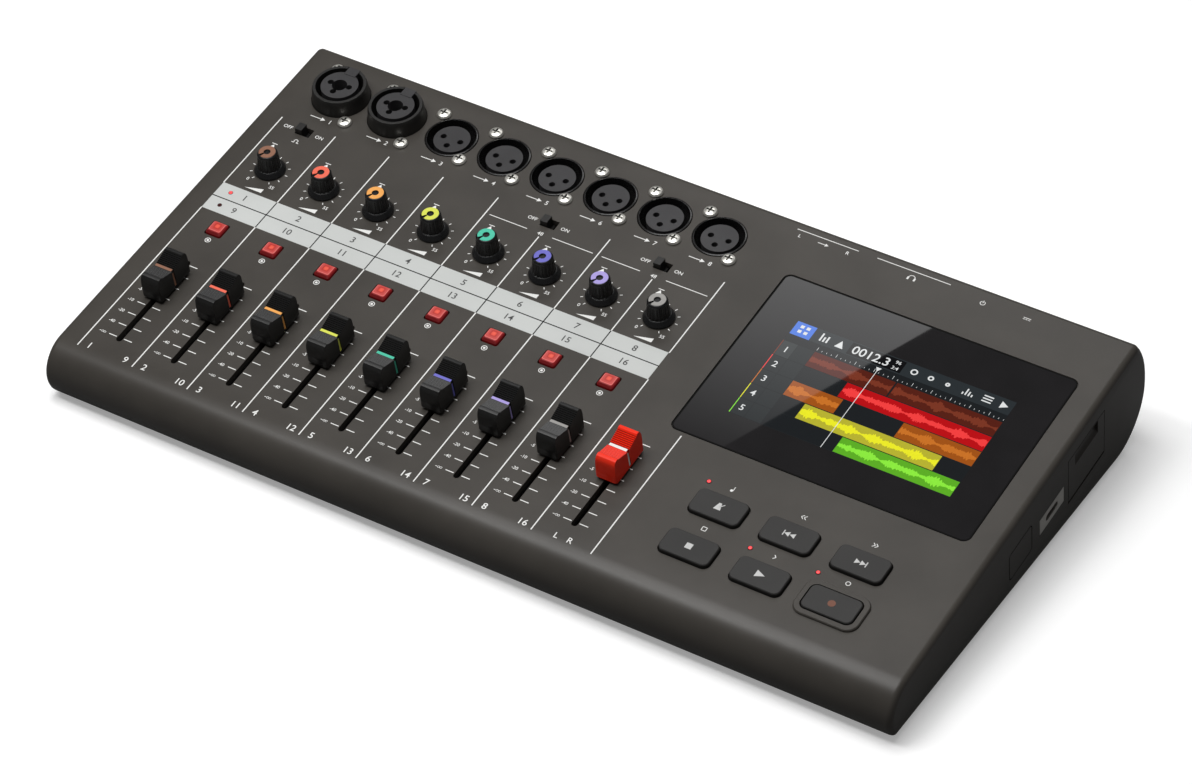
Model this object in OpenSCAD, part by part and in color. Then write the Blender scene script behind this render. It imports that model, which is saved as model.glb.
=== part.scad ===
// Digital multitrack recorder: wedge case, faders, gain knobs, keys, input sockets and screen.
// Frame: X right, Y back, Z up, origin on the table under the middle of the case. Millimetres.

/* [Case] */
// Distance from the last divider line to the right side
right_zone = 132.25; // [131:0.25:140]
// Distance from the input sockets back to the widest line of the rear
rear_zone = 32.63; // [32:0.01:38]
// Slope of the panel in degrees
tilt = 8.3; // [7.8:0.1:8.8]
// Height of the panel above the case bottom at the front ends of the divider lines
panel_h = 23.5; // [23:0.1:25]
// Wall of the case
wall = 2.5; // [2.2:0.1:2.8]
// Reach of the rolled front ahead of the divider lines
front_over = 9.7; // [8.5:0.1:11]
// Radius of the rolled front
nose_r = 13.5; // [12.5:0.1:14]
// Radius of the rear below its widest line
rear_low_r = 22.5; // [21.5:0.1:23.5]
// Radius of the rear above its widest line
rear_top_r = 40; // [36:0.5:44]
// Radius where the panel meets the rear
top_edge_r = 3; // [2.9:0.1:3.5]
// Radius of the edges of the side walls
side_edge_r = 2.5; // [1.5:0.1:2.8]
// Height of the feet below the case
foot_h = 2; // [1.5:0.1:4]
// Radius of the feet
foot_r = 8; // [6:0.5:10]
// Depth of the recess that holds a foot
foot_recess = 1; // [0.6:0.1:1.4]
// Thickness of the bottom cover
cover_t = 2.4; // [2:0.1:2.4]
// Side rim of the case around the bottom cover
cover_rim = 5; // [4.5:0.1:5.5]
// Ledge inside the case that the bottom cover meets
ledge_w = 2; // [1.5:0.1:2.2]

/* [Channels] */
// Distance from the left side to the first divider line
first_line = 10.4; // [9.8:0.1:11.5]
// Distance between channel strips
pitch = 26.15; // [25.9:0.05:26.5]
// Distance from the highest fader mark to the track keys
track_key_step = 22; // [20:0.1:24]
// Distance from the track keys to the gain knobs
knob_step = 38.2; // [36:0.1:40]
// Distance from the gain knobs to the slide switches
switch_step = 25; // [24:0.1:27]
// Distance from the slide switches to the input sockets
socket_step = 24.2; // [23.5:0.1:26]

/* [Faders] */
// Travel of a fader
fader_travel = 45; // [42:0.5:46]
// Distance from the divider lines' front ends to the lowest fader mark
fader_front = 11; // [10.8:0.1:12]
// Distance of the drawn caps above the lowest mark
fader_rest = 32.1; // [28:0.1:36]
// Width of the slots in the panel
slot_w = 2.6; // [2.4:0.1:3]
// Length of a cap along its slot
cap_l = 20.2; // [18:0.1:22]
// Width of a cap at its foot
cap_w = 9.6; // [9:0.1:11]
// Width of a cap at its ridges
cap_top_w = 8.2; // [7.4:0.1:8.8]
// Height of the cap's ridges above the panel
cap_h = 12.3; // [11.5:0.1:13.5]
// Height of the cap's foot above the panel
cap_lift = 1.5; // [1:0.1:2]
// Depth of the saddle between the ridges
cap_saddle = 2.3; // [1.8:0.1:2.8]
// Width of the groove across the cap
cap_groove_w = 1.4; // [0.8:0.1:1.6]
// Depth of the groove across the cap
cap_groove_d = 0.4; // [0.2:0.05:0.6]
// Ribs on each half of a cap
cap_ribs = 8; // [6:1:9]
// Depth of the ribs on the rear half of a cap
cap_rib_d = 0.5; // [0.3:0.05:0.6]
// Width of a fader housing
fader_body_w = 8.6; // [8:0.1:9.2]

/* [Knobs] */
// Height of a gain knob above the panel
knob_h = 10.1; // [9.5:0.1:11]
// Radius of the skirt of a gain knob
knob_skirt_r = 6.5; // [6:0.1:6.8]
// Height of the skirt of a gain knob
knob_skirt_h = 2.7; // [2.2:0.1:3.2]
// Radius of a gain knob above its skirt
knob_foot_r = 4.8; // [4.6:0.1:5.2]
// Radius of a gain knob at its top
knob_top_r = 4.2; // [3.9:0.1:4.4]
// Radius of the coloured disc on a gain knob
knob_disc_r = 3.5; // [3.2:0.1:3.6]
// Grip flutes around a gain knob
knob_flutes = 18; // [14:1:20]
// Radius of the shafts of knobs
shaft_r = 3; // [2.8:0.1:3.1]
// Direction of the pointer at the lowest setting, from the right, in degrees
pointer_angle = -120; // [-135:1:-110]

/* [Keys] */
// Side of a track key
track_key_w = 7; // [6.6:0.1:7.4]
// Height of a track key above the panel
track_key_rise = 1.3; // [1:0.1:1.6]
// Slope around the face of a track key
track_key_bevel = 0.8; // [0.4:0.05:0.9]
// Width of a transport key
key_w = 21.4; // [20.5:0.1:22]
// Depth of a transport key
key_d = 12; // [11.5:0.1:12.6]
// Corner radius of a transport key
key_r = 2.6; // [2:0.1:3]
// Height of a transport key above the panel
key_rise = 1.7; // [1.4:0.1:2.2]
// Slope around the face of a transport key
key_bevel = 0.35; // [0.2:0.05:0.6]
// Distance between columns of transport keys
key_pitch_x = 30.15; // [29.6:0.05:30.6]
// Distance between the two rows of transport keys
key_pitch_y = 22; // [21.6:0.1:22.4]
// Distance from the divider lines' front ends to the front row of transport keys
key_row = 18.9; // [18:0.1:20]
// Distance from the right side to the last column of transport keys
key_right = 40.7; // [40:0.1:41.5]
// Width of the raised frame around the record key
frame_w = 2.3; // [1.8:0.1:2.6]
// Height of the raised frame around the record key
frame_h = 1.1; // [0.8:0.1:1.3]
// Travel of a key
key_travel = 0.5; // [0.3:0.05:0.6]
// Radius of the plunger of a key
stem_r = 1.7; // [1.5:0.1:1.9]

/* [Slide switches] */
// Width of a panel slide switch opening
switch_slot_w = 6.8; // [6.6:0.1:7.2]
// Depth of a panel slide switch opening
switch_slot_d = 4.8; // [4.6:0.1:5]
// Width of a slide switch lever
lever_w = 3.2; // [3:0.1:3.4]
// Height of a slide switch lever above the panel
lever_h = 2.4; // [2:0.1:3]
// Travel of a slide switch
switch_travel = 3; // [2.6:0.1:3]

/* [Screen] */
// Width of the screen glass
glass_w = 127.4; // [124:0.1:128]
// Depth of the screen glass
glass_d = 91.2; // [89:0.1:92]
// Corner radius of the screen glass
glass_r = 3; // [2:0.1:5]
// Thickness of the screen glass
glass_t = 1.1; // [0.9:0.1:1.2]
// Distance from the right side to the middle of the screen
screen_right = 75.2; // [74.8:0.1:76]
// Distance from the divider lines' front ends to the middle of the glass
glass_row = 114.3; // [114:0.1:114.6]
// Distance from the middle of the glass forward to the middle of the display
lcd_shift = 1.9; // [1:0.1:3]
// Width of the display module
lcd_w = 102; // [100:0.5:104]
// Depth of the display module
lcd_d = 61; // [60:0.5:62]
// Thickness of the display module
lcd_t = 4.2; // [3.6:0.1:4.6]

/* [Input sockets] */
// Distance from the first divider line to the first combo socket
combo_first = 15.25; // [14.8:0.05:15.8]
// Distance between the two combo sockets
combo_pitch = 27.4; // [27.2:0.05:27.8]
// Distance from the second combo socket to the first three-pin socket
combo_to_xlr = 26.5; // [26.2:0.05:26.8]
// Distance between three-pin sockets
xlr_pitch = 25.13; // [24.9:0.05:25.3]
// Outer radius of a three-pin socket
xlr_r = 10.9; // [10.7:0.05:11]
// Inner radius of the barrel of a three-pin socket
xlr_bore_r = 10.2; // [10.1:0.05:10.3]
// Radius of the contact block of a socket
insert_r = 7.6; // [7.4:0.1:7.8]
// Radius of the circle of contacts
contact_circle_r = 4; // [3.7:0.1:4.2]
// Radius of a contact hole
contact_r = 1.3; // [1.1:0.1:1.4]
// Depth of the space around a contact block
socket_depth = 13; // [11:0.5:15]
// Radius of a combo collar at the panel
combo_r = 12.2; // [12:0.05:12.3]
// Radius of a combo collar at its top
combo_top_r = 11.5; // [11:0.1:11.8]
// Height of a combo collar above the panel
combo_h = 7; // [6:0.1:8]
// Inner radius of a combo collar
combo_bore_r = 9.9; // [9.8:0.05:10]
// Radius of the plug bore of a socket
plug_r = 3.2; // [3.175:0.005:3.25]
// Sideways offset of a socket screw
screw_dx = 9.9; // [9.6:0.1:10]
// Front to back offset of a three-pin socket screw
screw_dy = 10; // [9.8:0.1:10.2]
// Front to back offset of a combo socket screw
combo_screw_dy = 12.5; // [12.2:0.1:12.7]
// Radius of a screw head
screw_head_r = 3; // [2.8:0.1:3.1]
// Radius of a screw shank
screw_r = 1.45; // [1.3:0.05:1.5]

/* [Rear sockets] */
// Depth of the rear pocket at the widest line
pocket_d = 6; // [5.5:0.1:6.5]
// Height of the rear pocket
pocket_h = 24; // [23:0.5:25]
// Distance from the last three-pin socket to the left output jack
output_step = 28.1; // [26:0.1:30]
// Distance between the two output jacks
jack_step = 21.4; // [19:0.1:22]
// Distance from the right output jack to the headphone jack
phones_step = 17.7; // [17:0.1:19]
// Distance from the headphone jack to the headphone volume knob
volume_step = 21.1; // [19:0.1:22]
// Distance from the headphone volume knob to the power switch
power_step = 20.9; // [19:0.1:22]
// Distance from the power switch to the power inlet
dc_step = 19.1; // [18:0.1:20]
// Depth of a jack socket behind the rear wall
jack_d = 22; // [20:0.5:23]
// Radius of the headphone volume knob
volume_r = 5.6; // [5:0.1:6]

/* [Right side] */
// Width of the card door
door_w = 29.6; // [28:0.1:31]
// Height of the card door
door_h = 23.3; // [22:0.1:23.5]
// Thickness of the card door
door_t = 2.2; // [2:0.1:2.2]
// Distance from the divider lines' front ends to the middle of the card door
door_row = 142.7; // [142:0.1:143.5]
// Depth of the top of the card door below the panel
door_drop = 8.2; // [7.8:0.1:8.6]
// Radius of the hinge pins of the card door
pin_r = 0.8; // [0.7:0.05:0.85]
// Width of the side port's frame
port_w = 19.6; // [18:0.1:20]
// Height of the side port's frame
port_h = 8.1; // [7.6:0.1:8.6]
// Width of the slot of the side port
port_slot_w = 9.6; // [9:0.1:11]
// Height of the slot of the side port
port_slot_h = 3.2; // [2.8:0.1:3.6]
// Distance from the divider lines' front ends to the middle of the side port
port_row = 114.1; // [113.5:0.1:115]
// Width of the accessory cover
blank_w = 17.6; // [16.5:0.1:18]
// Height of the accessory cover
blank_h = 13.4; // [12.5:0.1:13.6]
// Distance from the divider lines' front ends to the middle of the accessory cover
blank_row = 88.8; // [87.5:0.1:89.5]
// Depth of the middle of the accessory cover below the panel
blank_drop = 20.2; // [20:0.1:20.6]

/* [Inside] */
// Depth of the control board below the panel
board_drop = 10.4; // [10.2:0.1:10.8]
// Depth of the main board below the panel
main_drop = 26.1; // [25.8:0.1:26.3]
// Thickness of the boards
board_t = 1.6; // [1.2:0.1:1.7]
// Radius of the screw bosses
boss_r = 3.5; // [3.2:0.1:3.6]
// Radius of a light pipe
lens_r = 0.95; // [0.8:0.05:1.1]
// Free gap around moving parts
run_gap = 0.35; // [0.3:0.01:0.4]
// Gap between parts that seat on each other
seat_gap = 0.05; // [0.03:0.01:0.1]

/* [Hidden] */
$fn = 64;
cut = 1;
edge_steps = 5;
case_color = "#4c4944";
black = "#1b1b1c";
steel = "#c9c7c1";
board_color = "#1d4a35";
track_colors = ["#7a4a35", "#e8563c", "#f08a2c", "#d3d62f", "#35b593", "#5a55b8", "#b6a2e0", "#8f8f8d"];
// Rows from the front to the rear, and the case around them
track_key_row = fader_front + fader_travel + track_key_step;
knob_row = track_key_row + knob_step;
switch_row = knob_row + switch_step;
socket_row = switch_row + socket_step;
lcd_row = glass_row - lcd_shift;
body_w = first_line + 9 * pitch + right_zone;
body_d = front_over + socket_row * cos(tilt) + rear_zone;
panel_y = front_over - body_d / 2;
panel_z = foot_h + panel_h;
line_x = first_line - body_w / 2;
right_x = body_w / 2;
nose_y = panel_y - front_over + nose_r;
nose_z = panel_z + (nose_y - panel_y) * tan(tilt) - nose_r / cos(tilt);
rear_axis_z = foot_h + rear_low_r;
rear_low_y = body_d / 2 - rear_low_r;
rear_top_y = body_d / 2 - rear_top_r;
// Middle of the small round where the panel meets the rear
edge_rise = panel_z - top_edge_r / cos(tilt) + (rear_top_y - panel_y) * tan(tilt) - rear_axis_z;
edge_a = 1 + pow(tan(tilt), 2);
edge_b = 2 * edge_rise * tan(tilt);
edge_c = pow(edge_rise, 2) - pow(rear_top_r - top_edge_r, 2);
edge_run = (-edge_b + sqrt(edge_b * edge_b - 4 * edge_a * edge_c)) / (2 * edge_a);
edge_y = rear_top_y + edge_run;
edge_z = rear_axis_z + edge_rise + edge_run * tan(tilt);
edge_turn = atan2(edge_z - rear_axis_z, edge_run);
under = -wall;
// Faders
blade_l = 3.6;
blade_t = slot_w - 3 * run_gap;
carriage_l = 8;
carriage_w = 5;
fader_mid = fader_front + fader_travel / 2;
fader_body_l = fader_travel + carriage_l + 2 * run_gap + 6;
fader_body_top = under - run_gap;
fader_roof = 0.9;
fader_floor = 1.2;
fader_low = -board_drop + fader_floor;
fader_high = fader_body_top - fader_roof;
master_x = line_x + 8.5 * pitch;
// Knobs and pots
pot_w = 11;
pot_d = 12;
pot_top = under - 0.8;
shaft_end = -board_drop + 2;
// Keys
key_gap = run_gap + 0.15;
flange_rim = 0.8;
flange_t = 1;
switch_box = 6.2;
switch_h = 4.4;
stem_end = -board_drop + 2.6;
key_x = right_x - key_right;
key_names = ["stop", "play", "record", "click", "rewind", "forward"];
// Slide switches
lever_d = switch_slot_d - 2 * run_gap;
lever_rim = 1;
switch_box_w = lever_w + 2 * lever_rim + switch_travel + 2 * run_gap + 2.2;
switch_box_d = lever_d + 2 * lever_rim + 2 * run_gap + 2.2;
// Screen
screen_x = right_x - screen_right;
glass_pocket = glass_t + 2 * seat_gap;
// Sockets
combo_x = [for (i = [0:1]) line_x + combo_first + i * combo_pitch];
xlr_x = [for (i = [0:5]) line_x + combo_first + combo_pitch + combo_to_xlr + i * xlr_pitch];
flange_top = under - seat_gap;
flange_edge = 2.8;
socket_reach = combo_screw_dy + flange_edge;
tab_w = 5.2;
tab_x = 0.6;
tab_end = combo_top_r - 0.5;
socket_flange_t = 2.4;
insert_base_t = 3;
screw_head_h = 1.9;
screw_l = 8;
hole_gap = 0.25;
// Rear
rear_flat_y = body_d / 2 - pocket_d;
rear_in_y = rear_flat_y - wall;
output_left_x = xlr_x[5] + output_step;
output_right_x = output_left_x + jack_step;
phones_x = output_right_x + phones_step;
volume_x = phones_x + volume_step;
power_x = volume_x + power_step;
dc_x = power_x + dc_step;
pocket_left = output_left_x - 13;
pocket_right = dc_x + 13;
jack_w = 13;
jack_up = 7;
jack_down = 8.7;
bush_r = 4.6;
nut_r = 6.6;
rear_board_z = rear_axis_z - jack_down;
power_lever_w = 5;
power_lever_d = 4;
power_travel = 3.4;
// Right side
hinge_x = right_x - door_t / 2;
hinge_z = -door_drop - door_h + door_t / 2;
pin_l = 2;
port_drop = main_drop - port_h / 2 - seat_gap;
reader_w = 28;
reader_l = 28;
reader_h = 3.8;
// Bottom
cover_half = body_w / 2 - cover_rim;
cover_front = panel_y + 1.5;
cover_back = rear_low_y - 1.5;
cover_corner = 5;
cup_r = 4.5;
cup_h = 5;
foot_x = cover_half - 20;
foot_front = cover_front + 18;
foot_back = cover_back - 18;
boss_at = [
    [line_x + 1.6, 20],
    [line_x + 4 * pitch, 20],
    [line_x + 9.2 * pitch, 20],
    [right_x - 12, 20],
    [line_x + pitch, switch_row + 2.3],
    [line_x + 6 * pitch, switch_row + 2.3],
    [right_x - 94, lcd_row + lcd_d / 2 + 9.1],
    [right_x - 13, socket_row - 0.4]
];
// Boards: control board from the front to the sockets, main board under the sockets and along the right side
board_front = 3.2;
board_gap = 3.3;
main_left = xlr_x[5] - 2.3;
main_right = right_x - 2 * wall + 0.6;
main_front = blank_row - blank_w / 2 - 8;
main_back = door_row + door_w / 2 + 2.5;
post_at = concat(
    [for (i = [1, 3, 5, 7]) [line_x + i * pitch, track_key_row - 9]],
    [[key_x - 1.5 * key_pitch_x, key_row + key_pitch_y / 2], [right_x - 19, glass_row - glass_d / 2 - 10.7]]
);

function channel_x(i) = line_x + (i - 0.5) * pitch;
function arc(y, z, r, from, to, n) = [
    for (i = [0:n])
        let (a = from + (to - from) * i / n)
        [y + r * cos(a), z + r * sin(a)]
];
// Angle where the rolled front meets the case bottom
function nose_end(inset) = 180 + asin((nose_z - foot_h - inset) / (nose_r - inset));
// Side outline of the case, moved inwards by a distance
function case_outline(inset) = concat(
    arc(nose_y, nose_z, nose_r - inset, 90 + tilt, nose_end(inset), 22),
    arc(rear_low_y, rear_axis_z, rear_low_r - inset, 270, 360, 15),
    arc(rear_top_y, rear_axis_z, rear_top_r - inset, 1, edge_turn, 7),
    arc(edge_y, edge_z, top_edge_r - inset, edge_turn + 10, 90 + tilt, 4)
);
// Zigzag between two points of a cap's outline
function rib_points(a, b, n, deep) = [
    for (i = [0:n - 1], s = [0, 1])
        a + (b - a) * (i + s / 2) / n - [0, s * deep]
];

// Places children in the frame of the panel: X right, Y up the slope, Z out of the panel
module on_panel() {
    translate([0, panel_y, panel_z]) rotate([tilt, 0, 0]) children();
}

// Places children at the inner face of the rear wall, Z pointing out of it and Y down
module on_rear(x) {
    translate([x, rear_in_y, rear_axis_z]) rotate([-90, 0, 0]) children();
}

// Rectangle with round corners about its middle
module round_rect(w, d, r) {
    square([w - 2 * r, d], center = true);
    square([w, d - 2 * r], center = true);
    for (x = [-1, 1], y = [-1, 1]) {
        translate([x * (w / 2 - r), y * (d / 2 - r)]) circle(r);
    }
}

module round_plate(w, d, r, low, high) {
    translate([0, 0, low]) linear_extrude(high - low) round_rect(w, d, r);
}

module block(w, d, low, high) {
    translate([-w / 2, -d / 2, low]) cube([w, d, high - low]);
}

module rod(r, low, high) {
    translate([0, 0, low]) cylinder(r = r, h = high - low);
}

// Long opening with round ends along the slope
module long_slot(w, from, to, low, high) {
    translate([-w / 2, from + w / 2, low]) cube([w, to - from - w, high - low]);
    for (y = [from + w / 2, to - w / 2]) {
        translate([0, y, 0]) rod(w / 2, low, high);
    }
}

// Solid of the side outline across a width
module case_prism(width, inset) {
    rotate([90, 0, 90]) linear_extrude(width, center = true) polygon(case_outline(inset));
}

// Outer form of the case: nested prisms that grow wider as their outline shrinks, for round side edges
module case_form() {
    hull() {
        for (k = [0:edge_steps]) {
            let (turn = 90 * k / edge_steps)
            case_prism(body_w - 2 * side_edge_r * (1 - sin(turn)), side_edge_r * (1 - cos(turn)));
        }
    }
}

module screw_bosses(extra, low) {
    for (b = boss_at) {
        translate([b[0], panel_y + b[1] * cos(tilt), low]) cylinder(r = boss_r + extra, h = 80);
    }
}

module panel_posts() {
    for (p = post_at) {
        translate([p[0], p[1], 0]) rod(2.4, -board_drop, under + cut / 2);
    }
}

// Openings in the sloping panel
module panel_openings() {
    for (i = [1:8]) {
        translate([channel_x(i), 0, 0]) fader_opening();
        translate([channel_x(i), knob_row, 0]) rod(shaft_r + 2 * run_gap, under - cut, cut);
        translate([channel_x(i), track_key_row, 0])
        round_plate(track_key_w + 2 * key_gap, track_key_w + 2 * key_gap, 1, under - cut, cut);
    }
    translate([master_x, 0, 0]) fader_opening();
    for (n = key_names) {
        at_key(n)
        round_plate(key_w + 2 * key_gap, key_d + 2 * key_gap, key_r + key_gap, under - cut, frame_h + cut);
    }
    for (n = ["hi_z", "phantom_a", "phantom_b"]) {
        at_switch(n) block(switch_slot_w, switch_slot_d, under - cut, cut);
    }
    for (p = lens_places()) {
        translate([p[0], p[1], 0]) rod(lens_r + 2 * seat_gap, under - cut, cut);
    }
    for (x = xlr_x) {
        translate([x, socket_row, 0]) rod(xlr_r + hole_gap, under - cut, cut);
        translate([x, socket_row, 0]) screw_pair(screw_dy) rod(screw_r + hole_gap, under - cut, cut);
    }
    for (x = combo_x) {
        translate([x, socket_row, 0]) rod(combo_r + hole_gap, under - cut, cut);
        translate([x, socket_row, 0]) screw_pair(combo_screw_dy) rod(screw_r + hole_gap, under - cut, cut);
    }
    translate([screen_x, glass_row, 0])
    round_plate(glass_w + 2 * run_gap, glass_d + 2 * run_gap, glass_r + run_gap, -glass_pocket, cut);
    translate([screen_x, lcd_row, 0]) block(lcd_w + 2 * run_gap, lcd_d + 2 * run_gap, under - cut, cut);
}

module fader_opening() {
    from = fader_front - blade_l / 2 - run_gap;
    to = fader_front + fader_travel + blade_l / 2 + run_gap;
    long_slot(slot_w, from, to, under - cut, cut);
}

// Two opposite screws of a socket
module screw_pair(dy) {
    for (s = [-1, 1]) {
        translate([s * screw_dx, -s * dy, 0]) children();
    }
}

module at_key(name) {
    n = search([name], key_names)[0];
    translate([key_x + (n % 3 - 2) * key_pitch_x, key_row + floor(n / 3) * key_pitch_y, 0]) children();
}

module at_switch(name) {
    x = name == "hi_z" ? channel_x(1) : line_x + (name == "phantom_a" ? 5 : 7) * pitch;
    translate([x, switch_row, 0]) children();
}

// Light pipes: bank pair, click, play and record, then the peak lights behind the knobs
function lens_places() = concat(
    [[line_x + 6.1, 97.9], [line_x + 6.1, 90]],
    [[key_x - 2 * key_pitch_x - 10.3, key_row + key_pitch_y + 10.4]],
    [[key_x - key_pitch_x - 10.3, key_row + 10.8]],
    [[key_x - 12.4, key_row + 12]],
    [for (i = [1:8]) [channel_x(i) - 6.2, knob_row + 8.6]]
);

// Openings in the rear wall, seen from inside
module rear_openings() {
    for (x = [output_left_x, output_right_x, phones_x]) {
        on_rear(x) rod(bush_r + hole_gap, -cut, wall + cut);
    }
    on_rear(volume_x) rod(shaft_r + 2 * run_gap, -cut, wall + cut);
    on_rear(power_x)
    block(power_lever_w + power_travel + 2 * run_gap, power_lever_d + 2 * run_gap, -cut, wall + cut);
    on_rear(dc_x) rod(bush_r + hole_gap, -cut, wall + cut);
}

// Openings in the right wall, in the frame of the panel
module side_openings() {
    translate([right_x - wall - cut, door_row - door_w / 2 - run_gap, hinge_z - door_t / 2 - run_gap])
    cube([wall + 2 * cut, door_w + 2 * run_gap, door_h + 2 * run_gap]);
    translate([hinge_x, door_row, hinge_z]) rotate([90, 0, 0])
    cylinder(r = pin_r + seat_gap, h = door_w + 2 * pin_l + 2 * run_gap, center = true);
    translate([right_x, port_row, -port_drop])
    cube([6 * wall, port_w + 2 * hole_gap, port_h + 2 * hole_gap], center = true);
    translate([right_x, blank_row, -blank_drop]) rotate([90, 0, 90]) {
        round_plate(blank_w + 4 * hole_gap, blank_h + 4 * hole_gap, 1.5 + 2 * hole_gap, -1.2, cut);
        round_plate(blank_w - 2, blank_h - 2, 1, -wall - cut, cut);
    }
}

module cover_outline(grow) {
    translate([0, (cover_front + cover_back) / 2, 0])
    round_rect(2 * (cover_half + grow), cover_back - cover_front + 2 * grow, cover_corner + grow);
}

module upper_case() {
    color(case_color)
    difference() {
        union() {
            difference() {
                case_form();
                case_prism(body_w - 2 * wall, wall);
            }
            intersection() {
                case_prism(body_w - 2 * wall, wall / 2);
                union() {
                    screw_bosses(0, foot_h + cup_h + seat_gap);
                    on_panel() panel_posts();
                    translate([pocket_left - wall, rear_in_y, rear_axis_z - pocket_h / 2 - wall])
                    cube([pocket_right - pocket_left + 2 * wall, 2 * pocket_d, pocket_h + 2 * wall]);
                    translate([0, 0, foot_h + cover_t + seat_gap]) linear_extrude(1.5) difference() {
                        cover_outline(ledge_w);
                        cover_outline(-ledge_w);
                    }
                }
            }
            on_panel() at_key("record") record_frame();
        }
        on_panel() panel_openings();
        on_panel() side_openings();
        translate([pocket_left, rear_flat_y, rear_axis_z - pocket_h / 2])
        cube([pocket_right - pocket_left, 2 * pocket_d, pocket_h]);
        rear_openings();
        translate([0, 0, foot_h - cut]) linear_extrude(cover_t + seat_gap + cut) cover_outline(0);
        translate([0, 0, foot_h - cut]) linear_extrude(wall + 2 * cut) cover_outline(-ledge_w);
        for (b = boss_at) {
            translate([b[0], panel_y + b[1] * cos(tilt), foot_h])
            cylinder(r = screw_r + seat_gap, h = screw_l + 3);
        }
    }
}

// Raised frame around the record key, with a sloping outer edge
module record_frame() {
    w = key_w + 2 * (key_gap + frame_w);
    d = key_d + 2 * (key_gap + frame_w);
    r = key_r + frame_w;
    hull() {
        round_plate(w, d, r, -0.3, frame_h - 0.5, $fn = 32);
        round_plate(w - 0.8, d - 0.8, r - 0.4, frame_h - 0.5, frame_h, $fn = 32);
    }
}

module lower_case() {
    color(case_color)
    difference() {
        union() {
            translate([0, 0, foot_h]) linear_extrude(cover_t) cover_outline(-run_gap);
            for (b = boss_at) {
                translate([b[0], panel_y + b[1] * cos(tilt), foot_h]) cylinder(r = cup_r, h = cup_h);
            }
        }
        for (b = boss_at) {
            translate([b[0], panel_y + b[1] * cos(tilt), foot_h - cut]) {
                cylinder(r = screw_head_r + hole_gap, h = screw_head_h + cut + seat_gap);
                cylinder(r = screw_r + hole_gap, h = cup_h + 2 * cut);
            }
        }
        at_feet() translate([0, 0, -cut]) cylinder(r = foot_r + seat_gap, h = foot_recess + cut);
    }
}

module at_feet() {
    for (x = [-foot_x, foot_x], y = [foot_front, foot_back]) {
        translate([x, y, foot_h]) children();
    }
}

module rubber_feet() {
    color(black) at_feet() rotate_extrude() polygon([
        [0, -foot_h],
        [foot_r - 1, -foot_h],
        [foot_r - 0.3, 0.6 - foot_h],
        [foot_r, 1 - foot_h],
        [foot_r, foot_recess - seat_gap],
        [0, foot_recess - seat_gap]
    ]);
}

// Pan head screw, head upwards on the plane
module pan_screw(length) {
    difference() {
        union() {
            rotate_extrude() polygon([
                [0, 0],
                [screw_head_r, 0],
                [screw_head_r, 0.3 * screw_head_h],
                [0.85 * screw_head_r, 0.7 * screw_head_h],
                [0.5 * screw_head_r, 0.95 * screw_head_h],
                [0, screw_head_h]
            ]);
            rod(screw_r, -length, cut / 2);
        }
        for (a = [0, 90]) {
            rotate([0, 0, a]) block(0.8, 1.1 * screw_head_r, 0.4 * screw_head_h, screw_head_h + cut);
        }
    }
}

module pan_screws() {
    color(steel) {
        on_panel() translate([0, socket_row, seat_gap]) {
            for (x = xlr_x) {
                translate([x, 0, 0]) screw_pair(screw_dy) pan_screw(screw_l);
            }
            for (x = combo_x) {
                translate([x, 0, 0]) screw_pair(combo_screw_dy) pan_screw(screw_l);
            }
        }
        for (b = boss_at) {
            translate([b[0], panel_y + b[1] * cos(tilt), foot_h + screw_head_h])
            rotate([180, 0, 0]) pan_screw(screw_l);
        }
    }
}

module screen_glass() {
    color("#101014") on_panel() translate([screen_x, glass_row, 0])
    round_plate(glass_w, glass_d, glass_r, -glass_t - seat_gap, -seat_gap);
}

module lcd_module() {
    color("#30343a") on_panel() translate([screen_x, lcd_row, 0])
    block(lcd_w, lcd_d, -glass_t - 2 * seat_gap - lcd_t, -glass_t - 2 * seat_gap);
}

module indicator_lenses() {
    color("#c8202a") on_panel() for (p = lens_places()) {
        translate([p[0], p[1], 0]) {
            rod(lens_r, -board_drop + 0.5, 0.15);
            rod(1.5, -board_drop + seat_gap, -board_drop + 1);
        }
    }
}

// Plate with screw holes that lies under the panel
module socket_flange(half_w, dy) {
    difference() {
        block(2 * half_w, 2 * (dy + flange_edge), flange_top - socket_flange_t, flange_top);
        screw_pair(dy) rod(screw_r + seat_gap, flange_top - 2 * socket_flange_t, flange_top + cut);
    }
}

// Barrel of a socket: foot on the main board, open top, round rim
module socket_barrel(r, top_r, bore_r, top, half_w, dy) {
    difference() {
        union() {
            rod(r, seat_gap - main_drop, 0);
            rotate_extrude() polygon([
                [0, -cut],
                [r, -cut],
                [r, 0],
                [top_r, top - 0.15 * (top + 0.5)],
                [top_r - 0.4, top],
                [0, top]
            ]);
            socket_flange(half_w, dy);
        }
        rod(bore_r, top - socket_depth - insert_base_t, top + cut);
        rod(bore_r - 1.5, seat_gap - main_drop + 1.5, top - socket_depth);
    }
}

module xlr_shells() {
    color(black) on_panel() for (x = xlr_x) {
        translate([x, socket_row, 0])
        socket_barrel(xlr_r, xlr_r - 0.1, xlr_bore_r, 0.4, screw_dx + 2.3, screw_dy);
    }
}

module xlr_inserts() {
    top = -0.8;
    base = 0.4 - socket_depth;
    color("#3a3a3d") on_panel() for (x = xlr_x) {
        translate([x, socket_row, 0]) difference() {
            union() {
                rod(insert_r, base - cut, top);
                rod(xlr_bore_r - seat_gap, base - insert_base_t + seat_gap, base);
            }
            for (a = [180, 270, 0]) {
                rotate([0, 0, a]) translate([contact_circle_r, 0, 0]) rod(contact_r, base + 2, top + cut);
            }
        }
    }
}

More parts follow.
